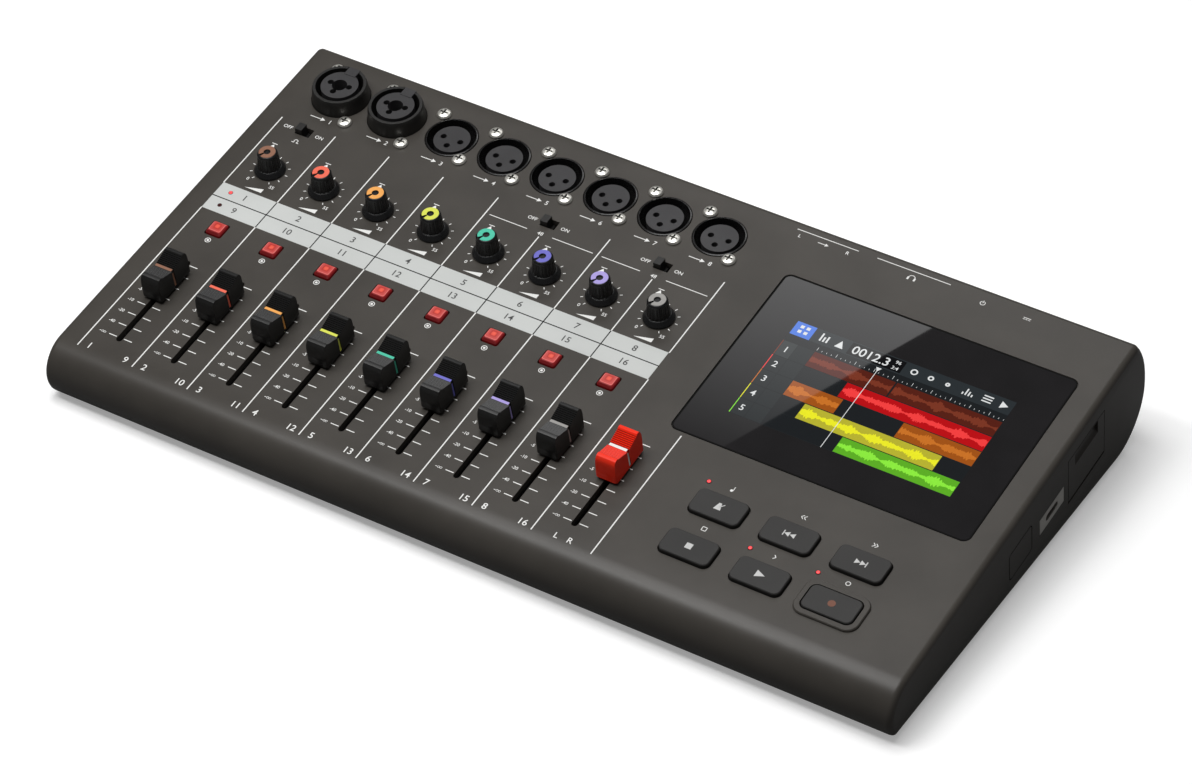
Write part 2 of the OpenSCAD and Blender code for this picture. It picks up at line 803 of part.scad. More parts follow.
// Combo collar with a notch at the back for the release tab
module combo_collars() {
    color(black) on_panel() for (x = combo_x) {
        translate([x, socket_row, 0]) difference() {
            socket_barrel(combo_r, combo_top_r, combo_bore_r, combo_h, screw_dx + 3, combo_screw_dy);
            translate([tab_x, combo_r, 0])
            block(tab_w + 2 * hole_gap, 2 * (combo_r - insert_r), combo_h - 3.6, combo_h + cut);
        }
    }
}

// Combo contact block: round plug bore crossed by three contact holes, and a release tab at the back
module combo_inserts() {
    top = combo_h - 0.3;
    base = combo_h - socket_depth;
    color("#2b2b2d") on_panel() for (x = combo_x) {
        translate([x, socket_row, 0]) difference() {
            union() {
                rod(insert_r + 0.2, base - cut, top);
                rod(combo_bore_r - seat_gap, base - insert_base_t + seat_gap, base);
                translate([tab_x - tab_w / 2, insert_r - 1, combo_h - 3.4])
                cube([tab_w, tab_end - insert_r + 1, 3.3]);
            }
            rod(plug_r, base - insert_base_t - cut, top + 2 * cut);
            for (a = [180, 265, 8]) {
                rotate([0, 0, a]) translate([contact_circle_r + 0.3, 0, 0])
                rod(contact_r, base + 1, top + cut);
            }
        }
    }
}

module jack_sockets() {
    color(black) for (x = [output_left_x, output_right_x, phones_x]) {
        on_rear(x) difference() {
            union() {
                translate([0, (jack_down - jack_up) / 2, 0])
                block(jack_w, jack_up + jack_down - 2 * seat_gap, -jack_d, -seat_gap);
                rod(bush_r, -cut, wall + 3.2);
                rotate_extrude($fn = 6) polygon([
                    [0, wall + seat_gap],
                    [nut_r, wall + seat_gap],
                    [nut_r, wall + 2],
                    [0, wall + 2]
                ]);
            }
            rod(plug_r, 1.5 - jack_d, wall + 3.2 + cut);
        }
    }
}

module dc_socket() {
    color(black) on_rear(dc_x) {
        difference() {
            union() {
                translate([0, (jack_down - jack_up) / 2, 0])
                block(10, jack_up + jack_down - 2 * seat_gap, -14, -seat_gap);
                rod(bush_r, -cut, wall + 0.6);
            }
            rod(3, -10, wall + 0.6 + cut);
        }
        rod(1, -10 - cut, wall - 0.5);
    }
}

// Metal frame around a slot with a tongue, open to the right
module usb_port() {
    depth = 18;
    slot_d = 8;
    color(steel) on_panel() translate([right_x, port_row, -port_drop]) rotate([90, 0, 90]) {
        difference() {
            block(port_w, port_h, -depth, 0);
            round_plate(port_slot_w, port_slot_h, port_slot_h / 2 - 0.05, -slot_d, cut);
        }
        block(port_slot_w - 3, 0.8, -slot_d - cut, -0.8);
    }
}

module card_reader() {
    color(steel) on_panel()
    translate([right_x - 4.5 - reader_l / 2, door_row, -main_drop + seat_gap]) difference() {
        block(reader_l, reader_w, 0, reader_h);
        translate([2, 0, 0]) block(reader_l, reader_w - 3.4, 0.6, reader_h - 0.6);
    }
}

// Blanking cover of the accessory opening: face plate with a round rim and a plug behind it
module accessory_cover() {
    color("#232222") on_panel() translate([right_x, blank_row, -blank_drop]) rotate([90, 0, 90]) {
        round_plate(blank_w, blank_h, 1.5, seat_gap - 1.2, 0);
        difference() {
            round_plate(blank_w - 2 - 2 * seat_gap, blank_h - 2 - 2 * seat_gap, 1 - seat_gap,
                -wall - 0.8, -0.6);
            block(blank_w - 5, blank_h - 5, -wall - cut, -1.4);
        }
    }
}

module control_board() {
    color(board_color) difference() {
        on_panel() translate([2 * wall - right_x, board_front, -board_drop - board_t])
        cube([body_w - 4 * wall, socket_row - socket_reach - board_front - board_gap, board_t - seat_gap]);
        screw_bosses(run_gap, 0);
    }
}

module main_board() {
    color(board_color) difference() {
        on_panel() translate([0, 0, -main_drop - board_t]) linear_extrude(board_t - seat_gap) {
            translate([2 * wall - right_x, socket_row - socket_reach - hole_gap])
            square([xlr_x[5] + xlr_pitch / 2 + right_x - 2 * wall, 2 * socket_reach + 4 * hole_gap]);
            translate([main_left, main_front]) square([main_right - main_left, main_back - main_front]);
        }
        screw_bosses(run_gap, 0);
    }
}

module rear_board() {
    color(board_color) translate([pocket_left, rear_in_y - jack_d - 2, rear_board_z - board_t])
    cube([pocket_right - pocket_left, jack_d + 1.4, board_t]);
}

// Slide potentiometer housing: closed box with a long slot for the lever
module fader_body() {
    difference() {
        translate([0, fader_mid, 0]) block(fader_body_w, fader_body_l, -board_drop, fader_body_top);
        translate([0, fader_mid, 0])
        block(carriage_w + 2 * run_gap, fader_body_l - 5, fader_low, fader_high);
        fader_opening_in_body();
    }
}

module fader_opening_in_body() {
    translate([0, fader_mid, 0])
    block(slot_w, fader_travel + blade_l + 4 * run_gap, fader_low, fader_body_top + cut);
}

module fader_bodies() {
    color("#8c8f92") on_panel() {
        for (i = [1:8]) {
            translate([channel_x(i), 0, 0]) fader_body();
        }
        translate([master_x, 0, 0]) fader_body();
    }
}

module rotary_pots() {
    color("#8c8f92") {
        on_panel() for (i = [1:8]) {
            translate([channel_x(i), knob_row, 0]) difference() {
                block(pot_w, pot_d, -board_drop, pot_top);
                rod(shaft_r + seat_gap, shaft_end - 0.6, cut);
            }
        }
        on_rear(volume_x) difference() {
            translate([0, (jack_down - jack_up) / 2, 0])
            block(pot_w, jack_up + jack_down - 2 * seat_gap, -8, -seat_gap);
            rod(shaft_r + seat_gap, -6.6, cut);
        }
    }
}

module switch_bodies() {
    color("#26282b") {
        on_panel() for (n = ["hi_z", "phantom_a", "phantom_b"]) {
            at_switch(n) difference() {
                block(switch_box_w, switch_box_d, -board_drop, under - 2 * seat_gap);
                block(switch_box_w - 2.2, switch_box_d - 2.2, -board_drop + 1, cut);
            }
        }
        on_rear(power_x) difference() {
            translate([0, (jack_down - jack_up) / 2, 0])
            block(power_lever_w + power_travel + 5.2, jack_up + jack_down - 2 * seat_gap, -7.4, -seat_gap);
            block(power_lever_w + power_travel + 2 + 2 * run_gap, power_lever_d + 2 + 2 * run_gap,
                -6.4, cut);
        }
    }
}

module key_switch() {
    difference() {
        block(switch_box, switch_box, -board_drop, -board_drop + switch_h);
        rod(stem_r + seat_gap, stem_end - key_travel - run_gap, cut);
    }
}

module key_switches() {
    color("#26282b") on_panel() {
        for (i = [1:8]) {
            translate([channel_x(i), track_key_row, 0]) key_switch();
        }
        for (n = key_names) {
            at_key(n) key_switch();
        }
    }
}

// Side outline of a cap: sloping ends, two ridges and a ribbed saddle between them
function cap_outline() = let (
    end = cap_l / 2,
    ridge = cap_l / 2 - 2.1,
    dip = cap_h - cap_saddle,
    half = cap_groove_w / 2
) concat(
    [[-end, cap_lift], [end, cap_lift]],
    [[end - 0.4, cap_h - 2.2], [end - 0.8, cap_h - 1], [end - 1.4, cap_h - 0.25]],
    [[ridge, cap_h], [ridge - 0.9, cap_h]],
    rib_points([ridge - 1.1, cap_h - 0.3], [half, dip], cap_ribs, cap_rib_d),
    [[half, dip], [-half, dip]],
    rib_points([-half, dip], [1.1 - ridge, cap_h - 0.3], cap_ribs, cap_rib_d / 2),
    [[0.9 - ridge, cap_h], [-ridge, cap_h]],
    [[1.4 - end, cap_h - 0.25], [0.8 - end, cap_h - 1], [0.4 - end, cap_h - 2.2]]
);

// Wedge that is narrower at the top, moved inwards by a distance, for the sides of a cap
module cap_taper(inset) {
    translate([0, cap_l, 0]) rotate([90, 0, 0]) linear_extrude(2 * cap_l) polygon([
        [inset - cap_w / 2, cap_lift - cut],
        [cap_w / 2 - inset, cap_lift - cut],
        [cap_top_w / 2 - inset, cap_h + cut],
        [inset - cap_top_w / 2, cap_h + cut]
    ]);
}

// Fader at its drawn position: cap, lever blade and carriage
module fader() {
    translate([0, fader_front + fader_rest, 0]) {
        difference() {
            intersection() {
                rotate([90, 0, 90]) linear_extrude(cap_w + 2, center = true) polygon(cap_outline());
                cap_taper(0);
                round_plate(cap_w, cap_l, 1.2, 0, cap_h + cut);
            }
            difference() {
                block(cap_w + 2, cap_groove_w, cap_lift + 0.6, cap_h);
                cap_taper(cap_groove_d);
            }
        }
        block(blade_t, blade_l, fader_low + 2, cap_lift + 1);
        block(carriage_w, carriage_l, fader_low + run_gap, fader_high - run_gap);
    }
}

module track_fader(i) {
    color(black) on_panel() translate([channel_x(i), 0, 0]) fader();
}

module master_fader() {
    color("#e2331f") on_panel() translate([master_x, 0, 0]) fader();
}

// Skirted knob with flutes, a disc with a pointer notch, and its shaft
module gain_knob(i) {
    lean = atan2(knob_foot_r - knob_top_r, knob_h - 0.7 - knob_skirt_h);
    color(track_colors[i - 1]) on_panel() translate([channel_x(i), knob_row, 0]) difference() {
        union() {
            rotate_extrude() polygon([
                [0, run_gap],
                [knob_skirt_r, run_gap],
                [knob_skirt_r, 0.9],
                [knob_skirt_r - 0.3, 1.3],
                [knob_foot_r + 0.5, knob_skirt_h - 0.2],
                [knob_foot_r + 0.3, knob_skirt_h],
                [knob_foot_r, knob_skirt_h],
                [knob_top_r, knob_h - 0.7],
                [knob_disc_r + 0.2, knob_h - 0.1],
                [knob_disc_r, knob_h],
                [0, knob_h]
            ]);
            rod(shaft_r, shaft_end, cut);
        }
        for (k = [0:knob_flutes - 1]) {
            rotate([0, 0, 360 * k / knob_flutes]) translate([knob_foot_r + 0.3, 0, knob_skirt_h])
            rotate([0, -lean, 0]) rod(0.55, 0.1, knob_h - knob_skirt_h - 1.2);
        }
        rod(1.4, knob_h - 0.4, knob_h + cut);
        rotate([0, 0, pointer_angle]) translate([knob_top_r / 2, 0, 0])
        block(knob_top_r + 1, 1, knob_h - 0.4, knob_h + cut);
    }
}

// Key that stands in an opening: face with a sloping rim, flange under the panel and plunger
module push_key(w, d, r, rise, bevel) {
    flange_high = under - run_gap;
    hull() {
        round_plate(w, d, r, rise - bevel - 0.25, rise - bevel - 0.05, $fn = 32);
        round_plate(w - 2 * bevel, d - 2 * bevel, r - 0.3, rise - 0.1, rise, $fn = 32);
    }
    round_plate(w, d, r, flange_high - flange_t, rise - bevel - 0.15);
    round_plate(w + 2 * (flange_rim + key_gap), d + 2 * (flange_rim + key_gap), r + flange_rim,
        flange_high - flange_t, flange_high);
    rod(stem_r, stem_end, flange_high - flange_t / 2);
}

module track_key(i) {
    color("#d8322e") on_panel() translate([channel_x(i), track_key_row, 0])
    push_key(track_key_w, track_key_w, 0.9, track_key_rise, track_key_bevel);
}

module transport_key(name) {
    color("#3f3f3e") on_panel() at_key(name) push_key(key_w, key_d, key_r, key_rise, key_bevel);
}

module panel_switch(name) {
    color(black) on_panel() at_switch(name) translate([-switch_travel / 2, 0, 0]) {
        block(lever_w, lever_d, -board_drop + 1 + run_gap, lever_h);
        block(lever_w + 2 * lever_rim, lever_d + 2 * lever_rim, under - run_gap - 1, under - run_gap);
    }
}

module power_switch() {
    color(black) on_rear(power_x) translate([-power_travel / 2, 0, 0]) {
        block(power_lever_w, power_lever_d, -6.4 + run_gap, wall + 3);
        block(power_lever_w + 2, power_lever_d + 2, -1.4, -run_gap);
    }
}

module phones_volume_knob() {
    color(black) on_rear(volume_x) difference() {
        union() {
            rotate_extrude() polygon([
                [0, wall + run_gap],
                [volume_r, wall + run_gap],
                [volume_r - 0.4, wall + pocket_d - 1],
                [volume_r - 1, wall + pocket_d - 0.3],
                [0, wall + pocket_d - 0.3]
            ]);
            rod(shaft_r, -6, wall + cut);
        }
        translate([0, -volume_r / 2 - 0.5, 0])
        block(0.9, volume_r, wall + pocket_d - 0.8, wall + pocket_d + cut);
        for (k = [0:15]) {
            rotate([0, 0, 22.5 * k + 11.25]) translate([volume_r + 0.2, 0, 0])
            rod(0.6, wall + 1, wall + pocket_d - 0.9);
        }
    }
}

// Door with a finger scoop at its top, a round hinge edge and two pins
module card_door() {
    color("#3a3733") on_panel() translate([hinge_x, door_row, hinge_z]) {
        difference() {
            translate([-door_t / 2, -door_w / 2, 0]) cube([door_t, door_w, door_h - door_t / 2]);
            translate([door_t / 2 + 3.2, 0, door_h - door_t / 2 - 3.6]) rotate([90, 0, 0])
            cylinder(r = 4.6, h = 19, center = true);
        }
        rotate([90, 0, 0]) cylinder(r = door_t / 2, h = door_w, center = true);
        rotate([90, 0, 0]) cylinder(r = pin_r, h = door_w + 2 * pin_l, center = true);
    }
}

upper_case();
lower_case();
rubber_feet();
pan_screws();
screen_glass();
lcd_module();
indicator_lenses();
xlr_shells();
xlr_inserts();
combo_collars();
combo_inserts();
jack_sockets();
dc_socket();
usb_port();
card_reader();
accessory_cover();
control_board();
main_board();
rear_board();
fader_bodies();
rotary_pots();
switch_bodies();
key_switches();
master_fader();
transport_key("click");  // click_key
transport_key("rewind");  // rewind_key
transport_key("forward");  // forward_key
transport_key("stop");  // stop_key
transport_key("play");  // play_key
transport_key("record");  // record_key
panel_switch("hi_z");  // hi_z_switch
panel_switch("phantom_a");  // phantom_switch_a
panel_switch("phantom_b");  // phantom_switch_b
power_switch();
phones_volume_knob();
card_door();
for (i = [1:8]) {
    track_fader(i);
    gain_knob(i);
    track_key(i);
}
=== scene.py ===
"""Looks of the multitrack recorder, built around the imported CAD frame."""
import math
import random

import bmesh
import bpy
from mathutils import Matrix, Vector


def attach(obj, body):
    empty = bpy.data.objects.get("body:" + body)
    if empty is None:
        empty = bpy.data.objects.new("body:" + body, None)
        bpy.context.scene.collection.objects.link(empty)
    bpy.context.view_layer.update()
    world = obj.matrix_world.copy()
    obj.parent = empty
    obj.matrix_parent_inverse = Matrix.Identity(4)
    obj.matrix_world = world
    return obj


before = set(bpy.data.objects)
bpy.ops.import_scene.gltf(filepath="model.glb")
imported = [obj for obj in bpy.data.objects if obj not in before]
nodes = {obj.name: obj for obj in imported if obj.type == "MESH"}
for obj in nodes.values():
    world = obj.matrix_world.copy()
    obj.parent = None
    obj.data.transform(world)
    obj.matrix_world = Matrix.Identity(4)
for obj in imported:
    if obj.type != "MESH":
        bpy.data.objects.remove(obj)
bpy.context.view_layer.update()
scene = bpy.context.scene

# Frame of the sloping panel: X right, Y up the slope, Z out of it, in millimetres
MM = 0.001
TILT = math.radians(8.3)
PANEL_FRONT = (0, -0.0933, 0.0255)
PANEL = Matrix.Translation(PANEL_FRONT) @ Matrix.Rotation(TILT, 4, "X") @ Matrix.Scale(MM, 4)

# Places on the panel, the same as in the CAD
TRACKS = 8
RIGHT_END = 189
LINE_X = -178.6
PITCH = 26.15
LINES = [LINE_X + i * PITCH for i in range(TRACKS + 2)]
CHANNELS = [LINE_X + (i + 0.5) * PITCH for i in range(TRACKS)]
MASTER_X = LINE_X + (TRACKS + 0.5) * PITCH
FADER_REST = 43.1
KNOB_ROW = 116.2
POINTER_REST = -120  # degrees, where the pointers of the gain knobs rest
SWITCH_ROW = 141.2
SWITCHES = {"hi_z_switch": CHANNELS[0], "phantom_switch_a": LINES[5], "phantom_switch_b": LINES[7]}
COMBO_X = [LINE_X + 15.25 + 27.4 * i for i in range(2)]
XLR_X = [LINE_X + 69.15 + 25.13 * i for i in range(6)]
KEY_X = RIGHT_END - 40.7
KEY_STEP = 30.15
KEY_ROWS = (18.9, 40.9)
KEYS = {name: (KEY_X + column * KEY_STEP, KEY_ROWS[row]) for name, column, row in (
    ("stop_key", -2, 0), ("play_key", -1, 0), ("record_key", 0, 0),
    ("click_key", -2, 1), ("rewind_key", -1, 1), ("forward_key", 0, 1))}
SCREEN_X = RIGHT_END - 75.2
PRINT = (0.01, 0.05)  # bottom and top of the printing, over the panel


def new_object(name, data):
    obj = bpy.data.objects.new(name, data)
    scene.collection.objects.link(obj)
    return obj


# Materials

NOISE_RANGE = (0.3, 0.7)  # holds most values of a noise
BROAD_SCALE = 35.0
HOLLOW_POWER = 2.2
GRAIN_STRENGTH = 0.6
LEAST_ROUGH = 0.02


def new_material(name):
    m = bpy.data.materials.new(name)
    m.use_nodes = True
    tree = m.node_tree
    return m, tree, tree.nodes["Principled BSDF"]


def add(tree, kind, **settings):
    """New node; each setting goes to the input of that name, or else to the property."""
    n = tree.nodes.new(kind)
    for key, value in settings.items():
        if key in n.inputs:
            n.inputs[key].default_value = value
        else:
            setattr(n, key, value)
    return n


def calc(tree, operation, *values):
    """Result of a math node; a value is a number or a socket."""
    n = add(tree, "ShaderNodeMath", operation=operation)
    for value, socket in zip(values, n.inputs):
        if isinstance(value, (int, float)):
            socket.default_value = value
        else:
            tree.links.new(value, socket)
    return n.outputs[0]


def noise(tree, **settings):
    """Noise in the object's own coordinates."""
    n = add(tree, "ShaderNodeTexNoise", **settings)
    tree.links.new(add(tree, "ShaderNodeTexCoord").outputs["Object"], n.inputs["Vector"])
    return n.outputs["Fac"]


def split_xyz(tree, coordinates):
    """Outputs X, Y and Z of one of the texture coordinates."""
    n = add(tree, "ShaderNodeSeparateXYZ")
    tree.links.new(add(tree, "ShaderNodeTexCoord").outputs[coordinates], n.inputs[0])
    return n.outputs


def map_range(tree, source, start, end, low, high):
    """Value that goes from low to high while the source goes from start to end."""
    n = add(tree, "ShaderNodeMapRange",
            **{"From Min": start, "From Max": end, "To Min": low, "To Max": high})
    tree.links.new(source, n.inputs["Value"])
    return n.outputs["Result"]


def ramp(tree, source, stops):
    """Colour ramp from a list of (position, colour)."""
    n = add(tree, "ShaderNodeValToRGB")
    elements = n.color_ramp.elements
    for element, (position, color) in zip(elements, (stops[0], stops[-1])):
        element.position = position
        element.color = (*color, 1)
    for position, color in stops[1:-1]:
        elements.new(position).color = (*color, 1)
    tree.links.new(source, n.inputs[0])
    return n.outputs[0]


def blend(tree, source, low, high):
    """Colour that goes from low to high over the range of a noise."""
    return ramp(tree, source, list(zip(NOISE_RANGE, (low, high))))


def grain(name, color, rough, size, depth, spread=0.12, rough_spread=0.06, metallic=0.0,
          specular=0.5, edge=0.0, hollow_shade=0.0):
    """Moulded or cast surface: fine grain in the relief, soft variation of colour and gloss.

    size and depth are those of the grain, edge is the radius of softened edges and the last
    argument the reach of the painted shade that darkens hollows, all in millimetres.
    """
    m, tree, shader = new_material(name)
    link = tree.links.new
    fine = noise(tree, Scale=1 / (size * MM), Detail=3.0, Roughness=0.6)
    broad = noise(tree, Scale=BROAD_SCALE, Detail=4.0, Roughness=0.55)
    low = tuple(c * (1 - spread) for c in color)
    high = tuple(min(1, c * (1 + spread)) for c in color)
    tint = blend(tree, broad, low, high)
    # Painted shade: ambient occlusion darkens the colour in hollows, such as screw recesses and
    # between the ribs of caps
    if hollow_shade:
        hollow = add(tree, "ShaderNodeAmbientOcclusion", samples=8, Distance=hollow_shade * MM)
        shade = add(tree, "ShaderNodeVectorMath", operation="SCALE")
        link(calc(tree, "POWER", hollow.outputs["AO"], HOLLOW_POWER), shade.inputs["Scale"])
        link(tint, shade.inputs[0])
        tint = shade.outputs[0]
    link(tint, shader.inputs["Base Color"])
    gloss = map_range(tree, fine, *NOISE_RANGE, max(LEAST_ROUGH, rough - rough_spread),
                      min(1, rough + rough_spread))
    link(gloss, shader.inputs["Roughness"])
    bump = add(tree, "ShaderNodeBump", Strength=GRAIN_STRENGTH, Distance=depth * MM)
    link(fine, bump.inputs["Height"])
    if edge:
        soft = add(tree, "ShaderNodeBevel", samples=4, Radius=edge * MM)
        link(soft.outputs["Normal"], bump.inputs["Normal"])
    link(bump.outputs["Normal"], shader.inputs["Normal"])
    shader.inputs["Metallic"].default_value = metallic
    shader.inputs["Specular IOR Level"].default_value = specular
    return m


def glow(name, color, strength, rough=0.35, body=1.0):
    """Lit surface with a slight unevenness; body is the share of its colour that it keeps unlit."""
    m, tree, shader = new_material(name)
    spots = noise(tree, Scale=1500.0, Detail=2.0)
    dim = tuple(c * 0.92 for c in color)
    tree.links.new(blend(tree, spots, dim, color), shader.inputs["Emission Color"])
    shader.inputs["Base Color"].default_value = (*(c * body for c in color), 1)
    shader.inputs["Emission Strength"].default_value = strength
    shader.inputs["Roughness"].default_value = rough
    return m


def lit_key():
    """Translucent red key lit from below: bright middle, darker ring, bright face with a painted
    highlight along its edge, deep red rim.
    """
    m, tree, shader = new_material("lit_key")
    place = split_xyz(tree, "Generated")
    middle, corner_blend = 0.5, 0.12
    far = [calc(tree, "ABSOLUTE", calc(tree, "SUBTRACT", place[axis], middle)) for axis in "XY"]
    # The pale band at 0.275, where the face meets the rim, is a painted highlight
    color = ramp(tree, calc(tree, "SMOOTH_MAX", *far, corner_blend), [
        (0.05, (0.66, 0.085, 0.050)), (0.09, (0.58, 0.060, 0.038)),
        (0.125, (0.36, 0.018, 0.012)), (0.18, (0.43, 0.046, 0.040)),
        (0.25, (0.46, 0.058, 0.052)), (0.275, (0.64, 0.155, 0.140)),
        (0.30, (0.25, 0.010, 0.012)), (0.365, (0.11, 0.003, 0.004))])
    tree.links.new(color, shader.inputs["Base Color"])
    tree.links.new(color, shader.inputs["Emission Color"])
    shader.inputs["Emission Strength"].default_value = 0.3
    shader.inputs["Roughness"].default_value = 0.32
    return m


def black_glass():
    """Polished black glass with faint smears."""
    m, tree, shader = new_material("black_glass")
    smear = noise(tree, Scale=60.0, Detail=5.0)
    tint = blend(tree, smear, (0.0115, 0.0108, 0.0115), (0.0145, 0.0135, 0.0145))
    tree.links.new(tint, shader.inputs["Base Color"])
    tree.links.new(map_range(tree, smear, 0, 1, 0.005, 0.02), shader.inputs["Roughness"])
    return m


# After each name: colour, roughness, size and depth of the grain
# The caps, the red cap and the screw steel get painted shade in their hollows
M = {
    "case": grain("case_plastic", (0.0565, 0.051, 0.0445), 0.37, 0.35, 0.02,
                  specular=0.32, edge=0.2),
    "cover": grain("cover_plastic", (0.03, 0.029, 0.027), 0.55, 0.35, 0.03),
    "black": grain("black_plastic", (0.0112, 0.0106, 0.0098), 0.42, 0.3, 0.015, edge=0.2),
    "cap": grain("cap_plastic", (0.012, 0.0118, 0.0115), 0.36, 0.25, 0.01,
                 specular=0.38, hollow_shade=0.6),
    "knob": grain("knob_plastic", (0.007, 0.007, 0.0075), 0.30, 0.25, 0.008,
                  specular=0.4, edge=0.2),
    "cap_red": grain("cap_red_plastic", (0.95, 0.036, 0.014), 0.40, 0.25, 0.012,
                     spread=0.05, specular=0.16, hollow_shade=0.4),
    "insert": grain("insert_plastic", (0.031, 0.030, 0.032), 0.5, 0.3, 0.03, spread=0.2),
    "shell": grain("shell_plastic", (0.0095, 0.009, 0.009), 0.24, 0.3, 0.006, edge=0.25),
    "key": grain("key_rubber", (0.030, 0.029, 0.028), 0.5, 0.3, 0.02, specular=0.3, edge=0.25),
    "rubber": grain("foot_rubber", (0.02, 0.02, 0.02), 0.8, 0.5, 0.05),
    "steel": grain("screw_steel", (0.90, 0.88, 0.82), 0.40, 0.5, 0.01, metallic=0.9, hollow_shade=0.9),
    "port": grain("port_metal", (0.62, 0.60, 0.57), 0.38, 0.4, 0.01, metallic=1.0),
    "plate": grain("plated_steel", (0.62, 0.61, 0.60), 0.3, 0.4, 0.01, metallic=1.0),
    "board": grain("board_mask", (0.02, 0.09, 0.05), 0.35, 0.6, 0.02),
    "white": grain("white_print", (0.84, 0.84, 0.82), 0.6, 0.2, 0.005, spread=0.05),
    "strip": grain("strip_print", (0.56, 0.575, 0.56), 0.6, 0.2, 0.005, spread=0.04),
    "dark": grain("dark_print", (0.05, 0.05, 0.05), 0.6, 0.2, 0.005),
    "symbol": grain("symbol_print", (0.60, 0.60, 0.59), 0.6, 0.2, 0.005, spread=0.05),
    "record": grain("record_print", (0.17, 0.058, 0.030), 0.55, 0.2, 0.005),
    "lens_dark": grain("lens_dark", (0.05, 0.012, 0.012), 0.25, 0.5, 0.003),
    "lens_lit": glow("lens_lit", (0.80, 0.055, 0.060), 0.7),
    "lit_key": lit_key(),
    "edge": grain("edge_paint", (0.004, 0.004, 0.004), 0.7, 0.3, 0.005, specular=0.1),
    "glass": black_glass(),
}
TRACK_COLOURS = [
    (0.27, 0.125, 0.075), (0.87, 0.145, 0.085), (0.90, 0.40, 0.09), (0.72, 0.76, 0.09),
    (0.06, 0.53, 0.36), (0.15, 0.145, 0.56), (0.40, 0.33, 0.72), (0.32, 0.31, 0.295)]
TRACK = [grain(f"track_colour_{i + 1}", color, 0.42, 0.25, 0.008, spread=0.06)
         for i, color in enumerate(TRACK_COLOURS)]


def per_track(stem):
    return [f"{stem}_{i + 1}" for i in range(TRACKS)]


CAD_MATERIALS = {
    "case": ["upper_case", "card_door", "accessory_cover"],
    "cover": ["lower_case"],
    "rubber": ["rubber_feet"],
    "steel": ["pan_screws"],
    "glass": ["screen_glass"],
    "dark": ["lcd_module"],
    "lens_dark": ["indicator_lenses"],
    "shell": ["xlr_shells"],
    "black": ["combo_collars", "jack_sockets", "dc_socket", *SWITCHES, "power_switch",
              "phones_volume_knob", "switch_bodies", "key_switches", "fader_bodies"],
    "insert": ["xlr_inserts", "combo_inserts"],
    "port": ["usb_port"],
    "plate": ["card_reader", "rotary_pots"],
    "board": ["control_board", "main_board", "rear_board"],
    "key": list(KEYS),
    "cap_red": ["master_fader"],
    "cap": per_track("track_fader"),
    "knob": per_track("gain_knob"),
    "lit_key": per_track("track_key"),
}
CAD_ANGLE = math.radians(28)    # sharper edges stay sharp, on the CAD nodes
PIECE_ANGLE = math.radians(30)  # and on the pieces made here
WELD = 2e-6


def smooth_group(name):
    """Modifier that joins doubled corners and shades smooth across edges flatter than an angle."""
    group = bpy.data.node_groups.new(name, "GeometryNodeTree")
    for way in ("INPUT", "OUTPUT"):
        group.interface.new_socket("Geometry", in_out=way, socket_type="NodeSocketGeometry")
    start, end = group.nodes.new("NodeGroupInput"), group.nodes.new("NodeGroupOutput")
    plain = add(group, "GeometryNodeRemoveAttribute", Name="custom_normal")
    merge = add(group, "GeometryNodeMergeByDistance", Distance=WELD)
    faces = add(group, "GeometryNodeSetShadeSmooth")
    edges = add(group, "GeometryNodeSetShadeSmooth", domain="EDGE")
    angle = add(group, "GeometryNodeInputMeshEdgeAngle")
    flat = add(group, "FunctionNodeCompare", operation="LESS_THAN")
    flat.inputs[1].default_value = CAD_ANGLE
    link = group.links.new
    link(start.outputs[0], plain.inputs["Geometry"])
    link(plain.outputs[0], merge.inputs["Geometry"])
    link(merge.outputs[0], faces.inputs["Geometry"])
    link(faces.outputs[0], edges.inputs["Geometry"])
    link(angle.outputs["Unsigned Angle"], flat.inputs[0])
    link(flat.outputs[0], edges.inputs["Shade Smooth"])
    link(edges.outputs[0], end.inputs[0])
    return group


SMOOTH = smooth_group("smooth_by_angle")
for key, names in CAD_MATERIALS.items():
    for name in names:
        obj = nodes[name]
        obj.data.materials.clear()
        obj.data.materials.append(M[key])
        obj.modifiers.new("smooth", "NODES").node_group = SMOOTH


# Pieces

def piece(name, bm, materials, body="case"):
    """Object from a mesh in the panel's frame, shaded smooth by angle and riding on a body."""
    bm.transform(PANEL)
    bmesh.ops.recalc_face_normals(bm, faces=bm.faces)
    mesh = bpy.data.meshes.new(name)
    bm.to_mesh(mesh)
    bm.free()
    mesh.shade_smooth()
    mesh.set_sharp_from_angle(angle=PIECE_ANGLE)
    for m in materials:
        mesh.materials.append(m)
    obj = new_object(name, mesh)
    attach(obj, body)


def skin(bm, rows, looped=False):
    """Faces between rows of vertices that each go once round."""
    faces = []
    for a, b in zip(rows, rows[1:] + (rows[:1] if looped else [])):
        n = len(a)
        faces += [bm.faces.new((a[j], a[(j + 1) % n], b[(j + 1) % n], b[j])) for j in range(n)]
    return faces


def prism(bm, points, span=PRINT, index=0):
    """Closed upright prism over a polygon; span is its bottom and top."""
    bottom, top = ([bm.verts.new((x, y, z)) for x, y in points] for z in span)
    faces = [bm.faces.new(bottom[::-1]), bm.faces.new(top)] + skin(bm, [bottom, top])
    for f in faces:
        f.material_index = index


def rect(bm, x0, y0, x1, y1, span=PRINT, index=0):
    prism(bm, [(x0, y0), (x1, y0), (x1, y1), (x0, y1)], span, index)


def stroke(bm, a, b, width, span=PRINT):
    """Straight bar between two points."""
    d = Vector((b[0] - a[0], b[1] - a[1])).normalized() * width / 2
    prism(bm, [(a[0] + d.y, a[1] - d.x), (b[0] + d.y, b[1] - d.x),
               (b[0] - d.y, b[1] + d.x), (a[0] - d.y, a[1] + d.x)], span)


def circle(x, y, r, n):
    angles = [2 * math.pi * k / n for k in range(n)]
    return [(x + r * math.cos(a), y + r * math.sin(a)) for a in angles]


def disc(bm, x, y, r, span=PRINT, index=0):
    prism(bm, circle(x, y, r, 24), span, index)


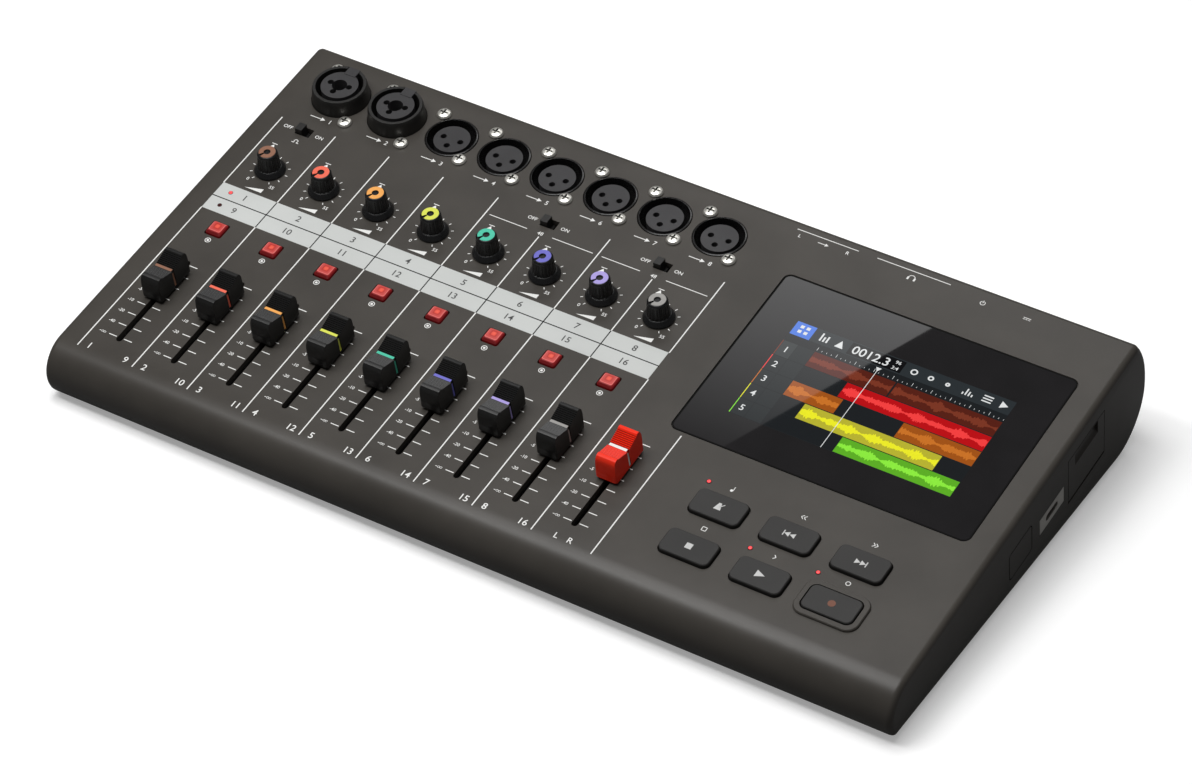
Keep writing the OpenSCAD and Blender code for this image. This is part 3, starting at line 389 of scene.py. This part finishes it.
def ring(bm, x, y, inner, outer, start=0, sweep=360, span=PRINT, n=24):
    """Flat ring, or part of one, as a closed solid."""
    low, high = span
    whole = sweep >= 360
    rows = []
    for k in range(n if whole else n + 1):
        a = math.radians(start + sweep * k / n)
        rows.append([bm.verts.new((x + r * math.cos(a), y + r * math.sin(a), z))
                     for r, z in ((inner, low), (outer, low), (outer, high), (inner, high))])
    skin(bm, rows, looped=whole)
    if not whole:
        bm.faces.new(rows[0])
        bm.faces.new(rows[-1][::-1])


def arrow(bm, start, base, tip, y, half, width):
    """Arrow to the right: a shaft, and a head from base to tip that is half as wide each way."""
    overlap = 0.3
    stroke(bm, (start, y), (base + overlap, y), width)
    prism(bm, [(base, y - half), (tip, y), (base, y + half)])


TEXT = {}


def text_mesh(text):
    """Text as a flat solid, in the font's own size."""
    if text not in TEXT:
        curve = bpy.data.curves.new("words", "FONT")
        curve.body = text
        curve.align_x = "CENTER"
        curve.align_y = "CENTER"
        curve.resolution_u = 3
        curve.extrude = 0.01
        curve.offset = 0.008
        obj = new_object("words", curve)
        solid = obj.evaluated_get(bpy.context.evaluated_depsgraph_get())
        TEXT[text] = bpy.data.meshes.new_from_object(solid)
        bpy.data.objects.remove(obj)
        bpy.data.curves.remove(curve)
    return TEXT[text]


capital = [v.co.y for v in text_mesh("H").vertices]
CAP_HEIGHT = max(capital) - min(capital)


def words(bm, text, x, y, height, span=PRINT, index=0):
    """Text about a point, with capitals of a given height."""
    low, high = span
    mesh = text_mesh(text)
    xs = [v.co.x for v in mesh.vertices]
    ys = [v.co.y for v in mesh.vertices]
    mid = Vector(((max(xs) + min(xs)) / 2, (max(ys) + min(ys)) / 2))
    scale = height / CAP_HEIGHT
    first, known = len(bm.verts), len(bm.faces)
    bm.from_mesh(mesh)
    bm.verts.ensure_lookup_table()
    bm.faces.ensure_lookup_table()
    for v in bm.verts[first:]:
        v.co = (x + (v.co.x - mid.x) * scale, y + (v.co.y - mid.y) * scale,
                high if v.co.z > 0 else low)
    for f in bm.faces[known:]:
        f.material_index = index


# Printing on the panel

LINE = 0.5
LINE_TOP = 144.5
LINE_TOPS = {5: 133.0, 7: 133.0, 9: 66.5}  # the lines that end sooner
STRIP = (86.0, 93.65, 94.15, 101.8)        # front and rear edges of the strip's two rows
STRIP_GAP = 0.24
SCALE_MARKS = ("-∞", "-40", "-20", "-10", "-5", "0", "5", "10")
MARK_FRONT = 10.8
MARK_STEP = 6.47
FRONT_ROW = 2.0
NUMBER = 3.0
ARM_ROW = 71.4
WEDGE_ROW = 103.4
GAIN_TICKS = 11
GAIN_STEP = 30
GAIN_RADII = (7.2, 8.3)
PEAK_ROW = 127.2
PHANTOM_ROW = 134.6
INPUT_ROW = 150.6
REAR_LINE = 182.9
REAR_ROW = 180.1
SMALL = 1.7

white = bmesh.new()
for i, x in enumerate(LINES):
    top = LINE_TOPS.get(i, LINE_TOP)
    spans = [(0, STRIP[0]), (STRIP[3], top)] if i <= TRACKS else [(0, top)]
    for low, high in spans:
        rect(white, x - LINE / 2, low, x + LINE / 2, high)
for name in ("phantom_switch_a", "phantom_switch_b"):
    for a, b in ((-24.2, -6.6), (5.2, 24.0)):
        rect(white, SWITCHES[name] + a, PHANTOM_ROW, SWITCHES[name] + b, PHANTOM_ROW + 0.35)
# Scales of the faders
for x in CHANNELS + [MASTER_X]:
    for k, mark in enumerate(SCALE_MARKS):
        y = MARK_FRONT + MARK_STEP * k
        for a, b in ((-5.4, -1.75), (1.75, 5.5)):
            rect(white, x + a, y - 0.2, x + b, y + 0.2)
        if mark == "-∞":
            stroke(white, (x - 10.0, y), (x - 9.2, y), 0.25)
            for side in (-1, 1):
                ring(white, x - 8.0 + side * 0.494, y, 0.35, 0.52, n=16)
        else:
            words(white, mark, x - 8.6, y, 1.45)
# Numbers in front of the faders, scales of the knobs, and signs for gain, peak and arming
for i, x in enumerate(CHANNELS):
    words(white, str(i + 1), LINES[i] + 4.6, FRONT_ROW, NUMBER)
    words(white, str(i + 1 + TRACKS), LINES[i + 1] - 4.4, FRONT_ROW, NUMBER)
    for k in range(GAIN_TICKS):
        a = math.radians(POINTER_REST - GAIN_STEP * k)
        inner, outer = ((x + r * math.cos(a), KNOB_ROW + r * math.sin(a)) for r in GAIN_RADII)
        stroke(white, inner, outer, 0.32)
    words(white, "0", x - 5.5, KNOB_ROW - 8.1, 1.6)
    words(white, "55", x + 6.2, KNOB_ROW - 8.3, 1.6)
    prism(white, [(x - 4.0, WEDGE_ROW), (x + 4.0, WEDGE_ROW), (x + 4.0, WEDGE_ROW + 2.2)])
    prism(white, [(x - 8.2, PEAK_ROW), (x - 5.6, PEAK_ROW), (x - 6.9, PEAK_ROW + 2.2)])
    rect(white, x - 8.2, PEAK_ROW + 2.5, x - 5.6, PEAK_ROW + 2.85)
    ring(white, x, ARM_ROW, 0.98, 1.3)
    disc(white, x, ARM_ROW, 0.55)
words(white, "L", MASTER_X - 3.0, FRONT_ROW, 2.7)
words(white, "R", MASTER_X + 3.0, FRONT_ROW, 2.7)
for name, x in SWITCHES.items():
    words(white, "OFF", x - 7.7, SWITCH_ROW - 0.3, SMALL)
    words(white, "ON", x + 7.4, SWITCH_ROW - 0.3, SMALL)
    if name == "hi_z_switch":
        y = SWITCH_ROW - 6.2
        ring(white, x, y, 0.7, 1.0, -60, 300, n=20)
        for foot in (x - 1.1, x + 1.1):
            rect(white, foot - 0.55, y - 1.05, foot + 0.55, y - 0.75)
    else:
        words(white, "48", x - 0.4, PHANTOM_ROW + 0.2, 1.8)
for i, x in enumerate(COMBO_X + XLR_X):
    words(white, str(i + 1), x + 4.2, INPUT_ROW, 2.1)
    arrow(white, x - 5.4, x - 0.1, x + 1.8, INPUT_ROW, 1.0, 0.36)
# Signs above the rear sockets: outputs, headphones, power switch and supply
for a, b in ((220.2, 247.7), (256.0, 288.4)):
    rect(white, LINE_X + a, REAR_LINE, LINE_X + b, REAR_LINE + 0.35)
words(white, "L", LINE_X + 222.9, REAR_ROW, SMALL)
words(white, "R", LINE_X + 244.3, REAR_ROW, SMALL)
arrow(white, LINE_X + 231, LINE_X + 234.3, LINE_X + 235.8, REAR_ROW, 0.8, 0.32)
phones = LINE_X + 273.1
ring(white, phones, REAR_ROW - 0.7, 1.25, 1.55, 0, 180, n=20)
for ear in (phones - 1.4, phones + 1.4):
    rect(white, ear - 0.4, REAR_ROW - 1.9, ear + 0.4, REAR_ROW - 0.4)
power = LINE_X + 304.0
ring(white, power, REAR_ROW - 0.2, 0.85, 1.15, 120, 300)
rect(white, power - 0.16, REAR_ROW - 0.2, power + 0.16, REAR_ROW + 1.2)
supply = LINE_X + 323.1
rect(white, supply - 1.6, REAR_ROW + 0.2, supply + 1.6, REAR_ROW + 0.5)
for dash in (supply - 1.15, supply, supply + 1.15):
    rect(white, dash - 0.42, REAR_ROW - 0.6, dash + 0.42, REAR_ROW - 0.3)
# Signs above the transport keys
for name, (x, key_y) in KEYS.items():
    y = key_y + 11.1
    if name == "stop_key":
        corners = [(x + a, y + b) for a, b in ((-0.9, -0.9), (0.9, -0.9), (0.9, 0.9), (-0.9, 0.9))]
        for a, b in zip(corners, corners[1:] + corners[:1]):
            stroke(white, a, b, 0.3)
    elif name == "record_key":
        ring(white, x, y + 1.2, 0.75, 1.05)
    elif name == "click_key":
        disc(white, x - 0.5, y - 0.8, 0.6)
        rect(white, x - 0.05, y - 0.8, x + 0.22, y + 1.3)
    else:
        way = -1 if name == "rewind_key" else 1
        middles = [x] if name == "play_key" else [x - 0.6, x + 0.6]
        for mid in middles:
            tip = (mid + 0.5 * way, y)
            stroke(white, (mid - 0.5 * way, y + 0.95), tip, 0.3)
            stroke(white, tip, (mid - 0.5 * way, y - 0.95), 0.3)
piece("panel_print", white, [M["white"]])

# Strip to write on: two rows of fields parted by black lines, with the numbers of the tracks
strip = bmesh.new()
numbers = bmesh.new()
NUMBER_SPAN = (0.055, 0.08)
for i, (left, right) in enumerate(zip(LINES[:TRACKS], LINES[1:])):
    x0 = left + (STRIP_GAP if i else 0)
    x1 = right - STRIP_GAP
    rect(strip, x0, STRIP[0], x1, STRIP[1])
    rect(strip, x0, STRIP[2], x1, STRIP[3])
    rect(strip, left, STRIP[1], right, STRIP[2], index=1)
    if i:
        for low, high in (STRIP[0:2], STRIP[2:4]):
            rect(strip, left - STRIP_GAP, low, left + STRIP_GAP, high, index=1)
    words(numbers, str(i + 1), CHANNELS[i], 97.9, NUMBER, NUMBER_SPAN)
    words(numbers, str(i + 1 + TRACKS), CHANNELS[i], 89.9, NUMBER, NUMBER_SPAN)
piece("track_strip", strip, [M["strip"], M["edge"]])
piece("track_numbers", numbers, [M["dark"]])

# Symbols on the transport keys
KEY_SPAN = (1.71, 1.75)
for name, (x, y) in KEYS.items():
    bm = bmesh.new()
    if name == "stop_key":
        rect(bm, x - 1.35, y - 1.35, x + 1.35, y + 1.35, KEY_SPAN)
    elif name == "play_key":
        prism(bm, [(x - 1.7, y - 1.7), (x + 2.1, y), (x - 1.7, y + 1.7)], KEY_SPAN)
    elif name == "record_key":
        disc(bm, x, y, 1.55, KEY_SPAN)
    elif name == "click_key":
        prism(bm, [(x - 1.5, y - 1.7), (x + 1.5, y - 1.7), (x + 0.55, y + 1.7),
                   (x - 0.55, y + 1.7)], KEY_SPAN)
        stroke(bm, (x + 0.4, y - 0.2), (x + 2.0, y + 1.5), 0.35, KEY_SPAN)
    else:
        way = -1 if name == "rewind_key" else 1
        for mid in (x - 1.3 * way, x + 1.0 * way):
            prism(bm, [(mid - 1.1 * way, y - 1.2), (mid + 1.1 * way, y),
                       (mid - 1.1 * way, y + 1.2)], KEY_SPAN)
        bar = x + 2.3 * way
        rect(bm, bar - 0.22, y - 1.3, bar + 0.22, y + 1.3, KEY_SPAN)
    piece(name + "_symbol", bm, [M["record" if name == "record_key" else "symbol"]], name)

# Domes of the lit indicators: one on the strip, and one beside each of three transport keys
LIT = [(LINE_X + 6.1, 97.9)] + [(KEYS[name][0] + x, KEYS[name][1] + y) for name, x, y in (
    ("click_key", -10.3, 10.4), ("play_key", -10.3, 10.8), ("record_key", -12.4, 12))]
LENS_PROFILE = ((0.78, 0.14), (0.78, 0.2), (0.66, 0.32), (0.35, 0.40))  # radius, height
LENS_TOP = 0.42
LENS_STEPS = 20
for i, (x, y) in enumerate(LIT):
    bm = bmesh.new()
    rows = [[bm.verts.new((*point, z)) for point in circle(x, y, r, LENS_STEPS)]
            for r, z in LENS_PROFILE]
    tip = bm.verts.new((x, y, LENS_TOP))
    skin(bm, rows)
    for a, b in zip(rows[-1], rows[-1][1:] + rows[-1][:1]):
        bm.faces.new((a, b, tip))
    bm.faces.new(rows[0][::-1])
    piece(f"lit_lens_{i + 1}", bm, [M["lens_lit"]])

# Coloured rings on the gain knobs, open at the pointer
RING_RADII = (1.45, 3.45)
RING_SPAN = (10.1, 10.28)
RING_GAP = 12
for i, x in enumerate(CHANNELS):
    bm = bmesh.new()
    ring(bm, x, KNOB_ROW, *RING_RADII, POINTER_REST + RING_GAP, 360 - 2 * RING_GAP, RING_SPAN, 48)
    piece(f"knob_ring_{i + 1}", bm, [TRACK[i]], f"gain_knob_{i + 1}")

# Coloured lines in the grooves of the caps: wide over the top, narrow down the sides
TOP_LINE = (3.85, 0.62)
TOP_SPAN = (9.9, 10.1)
SIDE_LINE = 0.52
SIDE_PROFILE = ((4.55, 1.6), (3.84, 9.95), (3.6, 9.95), (4.3, 1.6))  # distance out, height
for i, x in enumerate(CHANNELS + [MASTER_X]):
    bm = bmesh.new()
    rect(bm, x - TOP_LINE[0], FADER_REST - TOP_LINE[1], x + TOP_LINE[0], FADER_REST + TOP_LINE[1],
         TOP_SPAN)
    for side in (-1, 1):
        ends = [[bm.verts.new((x + side * out, y, z)) for out, z in SIDE_PROFILE]
                for y in (FADER_REST - SIDE_LINE, FADER_REST + SIDE_LINE)]
        skin(bm, ends)
        for end in ends:
            bm.faces.new(end)
    body = f"track_fader_{i + 1}" if i < TRACKS else "master_fader"
    piece(body + "_line", bm, [TRACK[i] if i < TRACKS else M["white"]], body)

# Black edge of the screen glass
GLASS_SIZE = (127.4, 91.2)
GLASS_RADIUS = 3.0
GLASS_Y = 114.3
EDGE_WIDTH = 0.55
EDGE_SPAN = (-0.048, -0.040)


def round_outline(width, depth, radius, n=8):
    """Rounded rectangle about the origin, anticlockwise."""
    points = []
    for k, (sx, sy) in enumerate(((1, 1), (-1, 1), (-1, -1), (1, -1))):
        for j in range(n + 1):
            a = math.radians(90 * (k + j / n))
            points.append((sx * (width / 2 - radius) + radius * math.cos(a),
                           sy * (depth / 2 - radius) + radius * math.sin(a)))
    return points


edge = bmesh.new()
loops = []
for inset, z in ((0, EDGE_SPAN[0]), (EDGE_WIDTH, EDGE_SPAN[0]),
                 (EDGE_WIDTH, EDGE_SPAN[1]), (0, EDGE_SPAN[1])):
    outline = round_outline(*(size - 2 * inset for size in GLASS_SIZE), GLASS_RADIUS - inset)
    loops.append([edge.verts.new((SCREEN_X + x, GLASS_Y + y, z)) for x, y in outline])
skin(edge, loops, looped=True)
piece("glass_edge", edge, [M["edge"]])

# Display: lanes of coloured clips with their waveforms
random.seed(7)
LCD = (SCREEN_X - 47.5, 85.6)
LCD_SIZE = (95, 53.8)
UI_COLOURS = {
    "back": (0.010, 0.012, 0.014), "bar": (0.022, 0.028, 0.032), "lane": (0.016, 0.020, 0.022),
    "cell": (0.034, 0.040, 0.042), "black": (0.002, 0.002, 0.003), "brown": (0.095, 0.012, 0.005),
    "red": (0.50, 0.002, 0.005), "orange": (0.36, 0.085, 0.006), "yellow": (0.49, 0.46, 0.03),
    "green": (0.11, 0.43, 0.017), "pale_brown": (0.20, 0.035, 0.015),
    "pale_red": (0.93, 0.05, 0.05), "pale_orange": (0.60, 0.17, 0.018),
    "pale_yellow": (0.87, 0.86, 0.02), "pale_green": (0.27, 0.86, 0.05),
    "blue": (0.07, 0.20, 0.75), "ink": (0.78, 0.80, 0.80)}
UI = {name: glow("display_" + name, color, strength=0.95, rough=0.015, body=0.05)
      for name, color in UI_COLOURS.items()}
UI_INDEX = {name: i for i, name in enumerate(UI)}
# Lanes from the top down: colour, and where the clips of each lane start and end
LANES = [("brown", [(14.0, 49.5), (50.0, 95.0)]), ("red", [(33.0, 95.0)]),
         ("orange", [(14.0, 36.0), (62.0, 95.0)]), ("yellow", [(24.0, 83.0)]),
         ("green", [(45.0, 95.0)])]
LANE_X = 14.0
LANE_H = 8.5
LANE_GAP = 0.15
BAR_Y = 46.4
ICON_Y = 50.1
RULER_Y = 43.2
PLAYHEAD = 40.0
WAVE_STEP = 0.32
WAVE_LEAST = 0.12


def ui_level(level):
    """Bottom and top of a layer of the picture, just over the glass."""
    return -0.048 + 0.012 * level, -0.037 + 0.012 * level


def ui(x0, y0, x1, y1, color, level=1):
    """Rectangle on the display, measured from its lower left corner in millimetres."""
    rect(screen, LCD[0] + x0, LCD[1] + y0, LCD[0] + x1, LCD[1] + y1, ui_level(level),
         UI_INDEX[color])


def ui_shape(points, level):
    prism(screen, [(LCD[0] + x, LCD[1] + y) for x, y in points], ui_level(level), UI_INDEX["ink"])


def ui_words(text, x, y, height):
    words(screen, text, LCD[0] + x, LCD[1] + y, height, ui_level(3), UI_INDEX["ink"])


def waveform(x0, x1, y, reach, color):
    """Closed strip that swells and falls about a centre line."""
    low, high = ui_level(3)
    rows = []
    steps = int((x1 - x0) / WAVE_STEP)
    swell = random.uniform(0, 6)
    for k in range(steps + 1):
        x = x0 + (x1 - x0) * k / steps
        beat = 0.42 + 0.30 * math.sin(x * 0.55 + swell) * math.sin(x * 0.13 + 2 * swell)
        h = max(WAVE_LEAST, reach * beat * random.uniform(0.45, 1.0))
        rows.append([screen.verts.new((LCD[0] + x, LCD[1] + y + side * h, z))
                     for side, z in ((-1, low), (1, low), (1, high), (-1, high))])
    faces = [screen.faces.new(rows[0]), screen.faces.new(rows[-1][::-1])] + skin(screen, rows)
    for f in faces:
        f.material_index = UI_INDEX[color]


screen = bmesh.new()
ui(0, 0, *LCD_SIZE, "back", 0)
ui(0, BAR_Y, *LCD_SIZE, "bar")
# Tile with four squares, bars, wedge and counter
ui(0.3, BAR_Y + 0.1, 8.8, 53.7, "blue", 2)
for x in (2.6, 5.2):
    for y in (48.3, 50.9):
        ui(x, y, x + 1.5, y + 1.5, "ink", 3)
for x, height in ((12.2, 4.2), (13.6, 2.6), (15.0, 3.4)):
    ui(x, 48.2, x + 0.7, 48.2 + height, "ink", 3)
ui_shape([(19.0, 48.2), (22.6, 48.2), (20.8, 52.0)], 3)
ui(24.8, 47.0, 48.2, 53.3, "black", 2)
ui_words("0012.3", 34.2, ICON_Y, 4.2)
ui_words("96", 45.4, 51.7, SMALL)
ui_words("3:4", 45.4, 48.6, SMALL)
# Rings, columns, list and arrowhead
for k in range(3):
    spot = (LCD[0] + 53.0 + 7.2 * k, LCD[1] + ICON_Y)
    disc(screen, *spot, 1.5 - 0.25 * k, ui_level(3), UI_INDEX["ink"])
    disc(screen, *spot, 0.9 - 0.3 * k, ui_level(4), UI_INDEX["bar"])
for k in range(4):
    ui(74.0 + 1.3 * k, 48.4, 74.6 + 1.3 * k, 49.6 + 1.1 * ((k * 2) % 3), "ink", 3)
for k in range(3):
    ui(82.4, 48.6 + 1.4 * k, 86.4, 49.2 + 1.4 * k, "ink", 3)
ui_shape([(90.0, 48.4), (93.2, 50.2), (90.0, 52.0)], 3)
for k in range(40):
    x = LANE_X + 0.2 + 2.06 * k
    ui(x, RULER_Y, x + 0.16, RULER_Y + (1.7 if k % 4 == 0 else 0.7), "ink", 2)
for k, (color, clips) in enumerate(LANES):
    y = LANE_H * (len(LANES) - 1 - k)
    low, high = y + LANE_GAP, y + LANE_H - LANE_GAP
    ui(0.5, low, 6.5, high, "cell" if k == 0 else "lane")
    ui(6.7, low, 13.8, high, "lane")
    ui(0, low, 0.35, high, "pale_" + color)
    ui(LANE_X, y, LCD_SIZE[0], y + 0.12, "lane")
    ui_words(str(k + 1), 3.5, y + LANE_H / 2, NUMBER)
    for x0, x1 in clips:
        ui(x0, y + 0.2, x1 - 0.15, y + LANE_H - 0.2, color, 2)
        waveform(x0 + 0.2, x1 - 0.35, y + LANE_H / 2, 4.2, "pale_" + color)
ui(PLAYHEAD - 0.14, 0, PLAYHEAD + 0.14, 44.4, "ink", 4)
ui_shape([(PLAYHEAD - 1.2, 46.0), (PLAYHEAD, 43.9), (PLAYHEAD + 1.2, 46.0)], 4)
piece("display", screen, list(UI.values()))

# Studio: floor and world, white to the camera

FLOOR_REACH = 6
FLOOR_SEEN = (("Is Camera Ray", 1.0), ("Is Glossy Ray", 0.12), ("Is Transmission Ray", 1.0))
FLOOR_GLOW = 0.3
FLOOR_DULL = (0.06, 0.06, 0.06, 1)  # as the floor lights the object
WORLD_LIGHT = 0.10
WHITE = (1, 1, 1, 1)


def sheet(name, corners, material):
    """Object of one four-sided face."""
    mesh = bpy.data.meshes.new(name)
    mesh.from_pydata(corners, [], [(0, 1, 2, 3)])
    mesh.materials.append(material)
    return new_object(name, mesh)


paper = grain("floor_paper", (0.86, 0.86, 0.86), 0.9, 2.0, 0.01, spread=0.01)
tree = paper.node_tree
paper_shader = tree.nodes["Principled BSDF"]
paper_shader.inputs["Emission Color"].default_value = WHITE
paper_shader.inputs["Emission Strength"].default_value = FLOOR_GLOW
rays = add(tree, "ShaderNodeLightPath").outputs
direct = 0.0
for key, share in FLOOR_SEEN:
    direct = calc(tree, "MAXIMUM", calc(tree, "MULTIPLY", rays[key], share), direct)
dull = add(tree, "ShaderNodeBsdfDiffuse", Color=FLOOR_DULL)
pale = add(tree, "ShaderNodeMixShader")
tree.links.new(direct, pale.inputs[0])
tree.links.new(dull.outputs[0], pale.inputs[1])
tree.links.new(paper_shader.outputs[0], pale.inputs[2])
tree.links.new(pale.outputs[0], tree.nodes["Material Output"].inputs["Surface"])
floor = sheet("floor", [(FLOOR_REACH * x, FLOOR_REACH * y, 0)
                        for x, y in ((-1, -1), (1, -1), (1, 1), (-1, 1))], paper)

scene.view_settings.view_transform = "Standard"
world = bpy.data.worlds.new("studio")
scene.world = world
world.use_nodes = True
sky = world.node_tree
light = sky.nodes["Background"]
light.inputs["Color"].default_value = WHITE
light.inputs["Strength"].default_value = WORLD_LIGHT
seen = add(sky, "ShaderNodeBackground", Strength=1.0)
choose = add(sky, "ShaderNodeMixShader")
sky.links.new(add(sky, "ShaderNodeLightPath").outputs["Is Camera Ray"], choose.inputs[0])
sky.links.new(light.outputs[0], choose.inputs[1])
sky.links.new(seen.outputs[0], choose.inputs[2])
sky.links.new(choose.outputs[0], sky.nodes["World Output"].inputs["Surface"])

# Lamps: place, target, width, depth and watts
LAMPS = {
    "overhead": ((-0.12, -0.14, 1.4), (0, 0, 0), 1.0, 0.8, 13.6),
    "rear": ((-0.22, 1.15, 1.3), (0.12, 0.08, 0.05), 0.6, 0.3, 2.5),
    "front_strip": ((-0.66, -0.57, 1.4), (-0.66, -0.57, 0), 0.9, 0.24, 8.5),
}
for name, (at, target, width, depth, watts) in LAMPS.items():
    lamp = bpy.data.lights.new(name, "AREA")
    lamp.shape = "RECTANGLE"
    lamp.size = width
    lamp.size_y = depth
    lamp.energy = watts
    obj = new_object(name, lamp)
    obj.location = at
    obj.rotation_euler = (Vector(target) - Vector(at)).to_track_quat("-Z", "Y").to_euler()

# Card seen in the glass; its glow rises from the front to the rear
CARD_CORNERS = [(-0.29, 0.925, 1.2), (-0.60, 0.377, 1.2), (-0.95, 0.575, 1.2), (-0.64, 1.12, 1.2)]
CARD_RISE = (0.60, 0.80)
CARD_GLOW = (0.0, 2.4)
lit, tree, shader = new_material("glass_card")
tree.nodes.remove(shader)
level = map_range(tree, split_xyz(tree, "Object")["Y"], *CARD_RISE, *CARD_GLOW)
emitter = add(tree, "ShaderNodeEmission")
tree.links.new(level, emitter.inputs["Strength"])
tree.links.new(emitter.outputs[0], tree.nodes["Material Output"].inputs["Surface"])
obj = sheet("glass_card", CARD_CORNERS, lit)

# Camera at the photo's place
CAMERA_AT = (0.70039, -1.14316, 1.12702)
CAMERA_LOOK = (-0.40088, 0.65627, -0.63923)
camera = bpy.data.cameras.new("camera")
camera.sensor_fit = "HORIZONTAL"
camera.sensor_width = 36
camera.lens = 134.77
camera.clip_end = 50
eye = new_object("camera", camera)
look = Vector(CAMERA_LOOK).normalized()
right = look.cross(Vector((0, 0, 1))).normalized()
up = right.cross(look)
turn = Matrix((right, up, -look)).transposed().to_4x4()
eye.matrix_world = Matrix.Translation(CAMERA_AT) @ turn
scene.camera = eye
